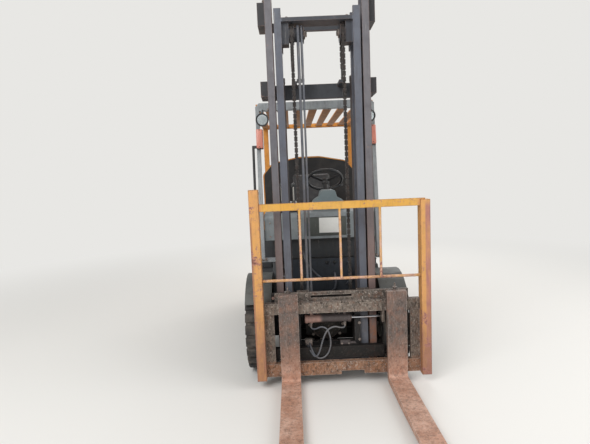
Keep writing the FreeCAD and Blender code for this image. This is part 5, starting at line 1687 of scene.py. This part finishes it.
@dataclass
class Studio:
    """Plain pale floor, soft light and the photograph's camera."""

    eye: Vector = field(default_factory=lambda: spot(-210, -3330, 1440))
    pitch: float = 5.9
    roll: float = 2.4
    yaw: float = 0.2
    focal: float = 27.09
    pale: Rgb = (232, 231, 228)

    def floor(self) -> None:
        """A wide pale floor that keeps the truck's shadow and melts into the backdrop."""
        shape = bmesh.new()
        bmesh.ops.create_circle(shape, cap_ends=True, segments=96, radius=60.0)
        mesh = bpy.data.meshes.new("studio_floor")
        shape.to_mesh(mesh)
        shape.free()
        g = Graph("studio_floor")
        g.set(Base_Color=tint(*self.pale), Roughness=0.95)
        gap = g.node("ShaderNodeVectorMath", {0: g.place}, operation="LENGTH").outputs["Value"]
        glow = g.node("ShaderNodeEmission", {"Color": tint(*self.pale), "Strength": 1.0})
        rays = g.node("ShaderNodeLightPath", {}).outputs
        seen = g.math("MAXIMUM", rays["Is Camera Ray"], rays["Is Glossy Ray"])
        share = g.math("MULTIPLY", g.step(gap, 2.4, 7.0), seen)
        blend = g.node("ShaderNodeMixShader", {0: share, 1: g.shader.outputs["BSDF"],
                                               2: glow.outputs[0]})
        g.tree.links.new(blend.outputs[0], g.surface)
        mesh.materials.append(g.material)
        floor = bpy.data.objects.new("studio_floor", mesh)
        bpy.context.scene.collection.objects.link(floor)

    def world(self) -> None:
        """Even light all round, seen as a pale backdrop."""
        world = bpy.data.worlds.new("studio_air")
        bpy.context.scene.world = world
        world.use_nodes = True
        tree = world.node_tree
        background = tree.nodes["Background"]
        background.inputs["Color"].default_value = tint(*self.pale)
        path = tree.nodes.new("ShaderNodeLightPath")
        shown = tree.nodes.new("ShaderNodeMath")
        shown.operation = "MAXIMUM"
        tree.links.new(path.outputs["Is Camera Ray"], shown.inputs[0])
        tree.links.new(path.outputs["Is Transmission Ray"], shown.inputs[1])
        strength = tree.nodes.new("ShaderNodeMapRange")
        strength.inputs["To Min"].default_value = 0.66
        strength.inputs["To Max"].default_value = 1.0
        tree.links.new(shown.outputs[0], strength.inputs["Value"])
        tree.links.new(strength.outputs["Result"], background.inputs["Strength"])

    def lamp(self, name: str, power: float, size: float, place: Vector, aim: Vector) -> None:
        """A square soft light.

        Args:
            name: the lamp's name.
            power: in watts.
            size: its side in metres.
            place: where it hangs.
            aim: what it points at.
        """
        light = bpy.data.lights.new(name, "AREA")
        light.energy, light.size = power, size
        lamp = bpy.data.objects.new(name, light)
        lamp.location = place
        lamp.rotation_euler = (aim - place).to_track_quat("-Z", "Y").to_euler()
        bpy.context.scene.collection.objects.link(lamp)

    def camera(self) -> None:
        """The photograph's view."""
        data = bpy.data.cameras.new("camera")
        data.lens, data.sensor_width = self.focal, 36.0
        camera = bpy.data.objects.new("camera", data)
        turn = (Matrix.Rotation(math.radians(-self.yaw), 4, "Z")
                @ Matrix.Rotation(math.radians(90 - self.pitch), 4, "X")
                @ Matrix.Rotation(math.radians(-self.roll), 4, "Z"))
        camera.matrix_world = move(self.eye) @ turn
        bpy.context.scene.collection.objects.link(camera)
        bpy.context.scene.camera = camera

    def light(self) -> None:
        """Floor, air and lamps."""
        self.floor()
        self.world()
        self.lamp("key", 260.0, 4.0, Vector((-3.2, -5.0, 5.2)), Vector((0, 0, 1.0)))
        self.lamp("fill", 120.0, 4.0, Vector((4.4, -2.5, 3.4)), Vector((0, 0, 1.0)))
        self.lamp("back", 150.0, 4.0, Vector((1.5, 5.2, 4.4)), Vector((0, 0, 1.2)))
        bpy.context.scene.view_settings.view_transform = "Standard"


def main() -> None:
    """Dress the truck and set up the studio."""
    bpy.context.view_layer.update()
    studio = Studio()
    studio.camera()
    ShiftHoses().build()
    FloorHoses().build()
    PackedFinishes().dress()
    for part in (LeafChains(), MastHoses(), SteeringWheel(), Column(), Controls(), Cowl(),
                 Headlamps(), Indicators(), Wheels(), Seat(), Trim()):
        part.build()
    studio.light()


if __name__ == "__main__":
    main()
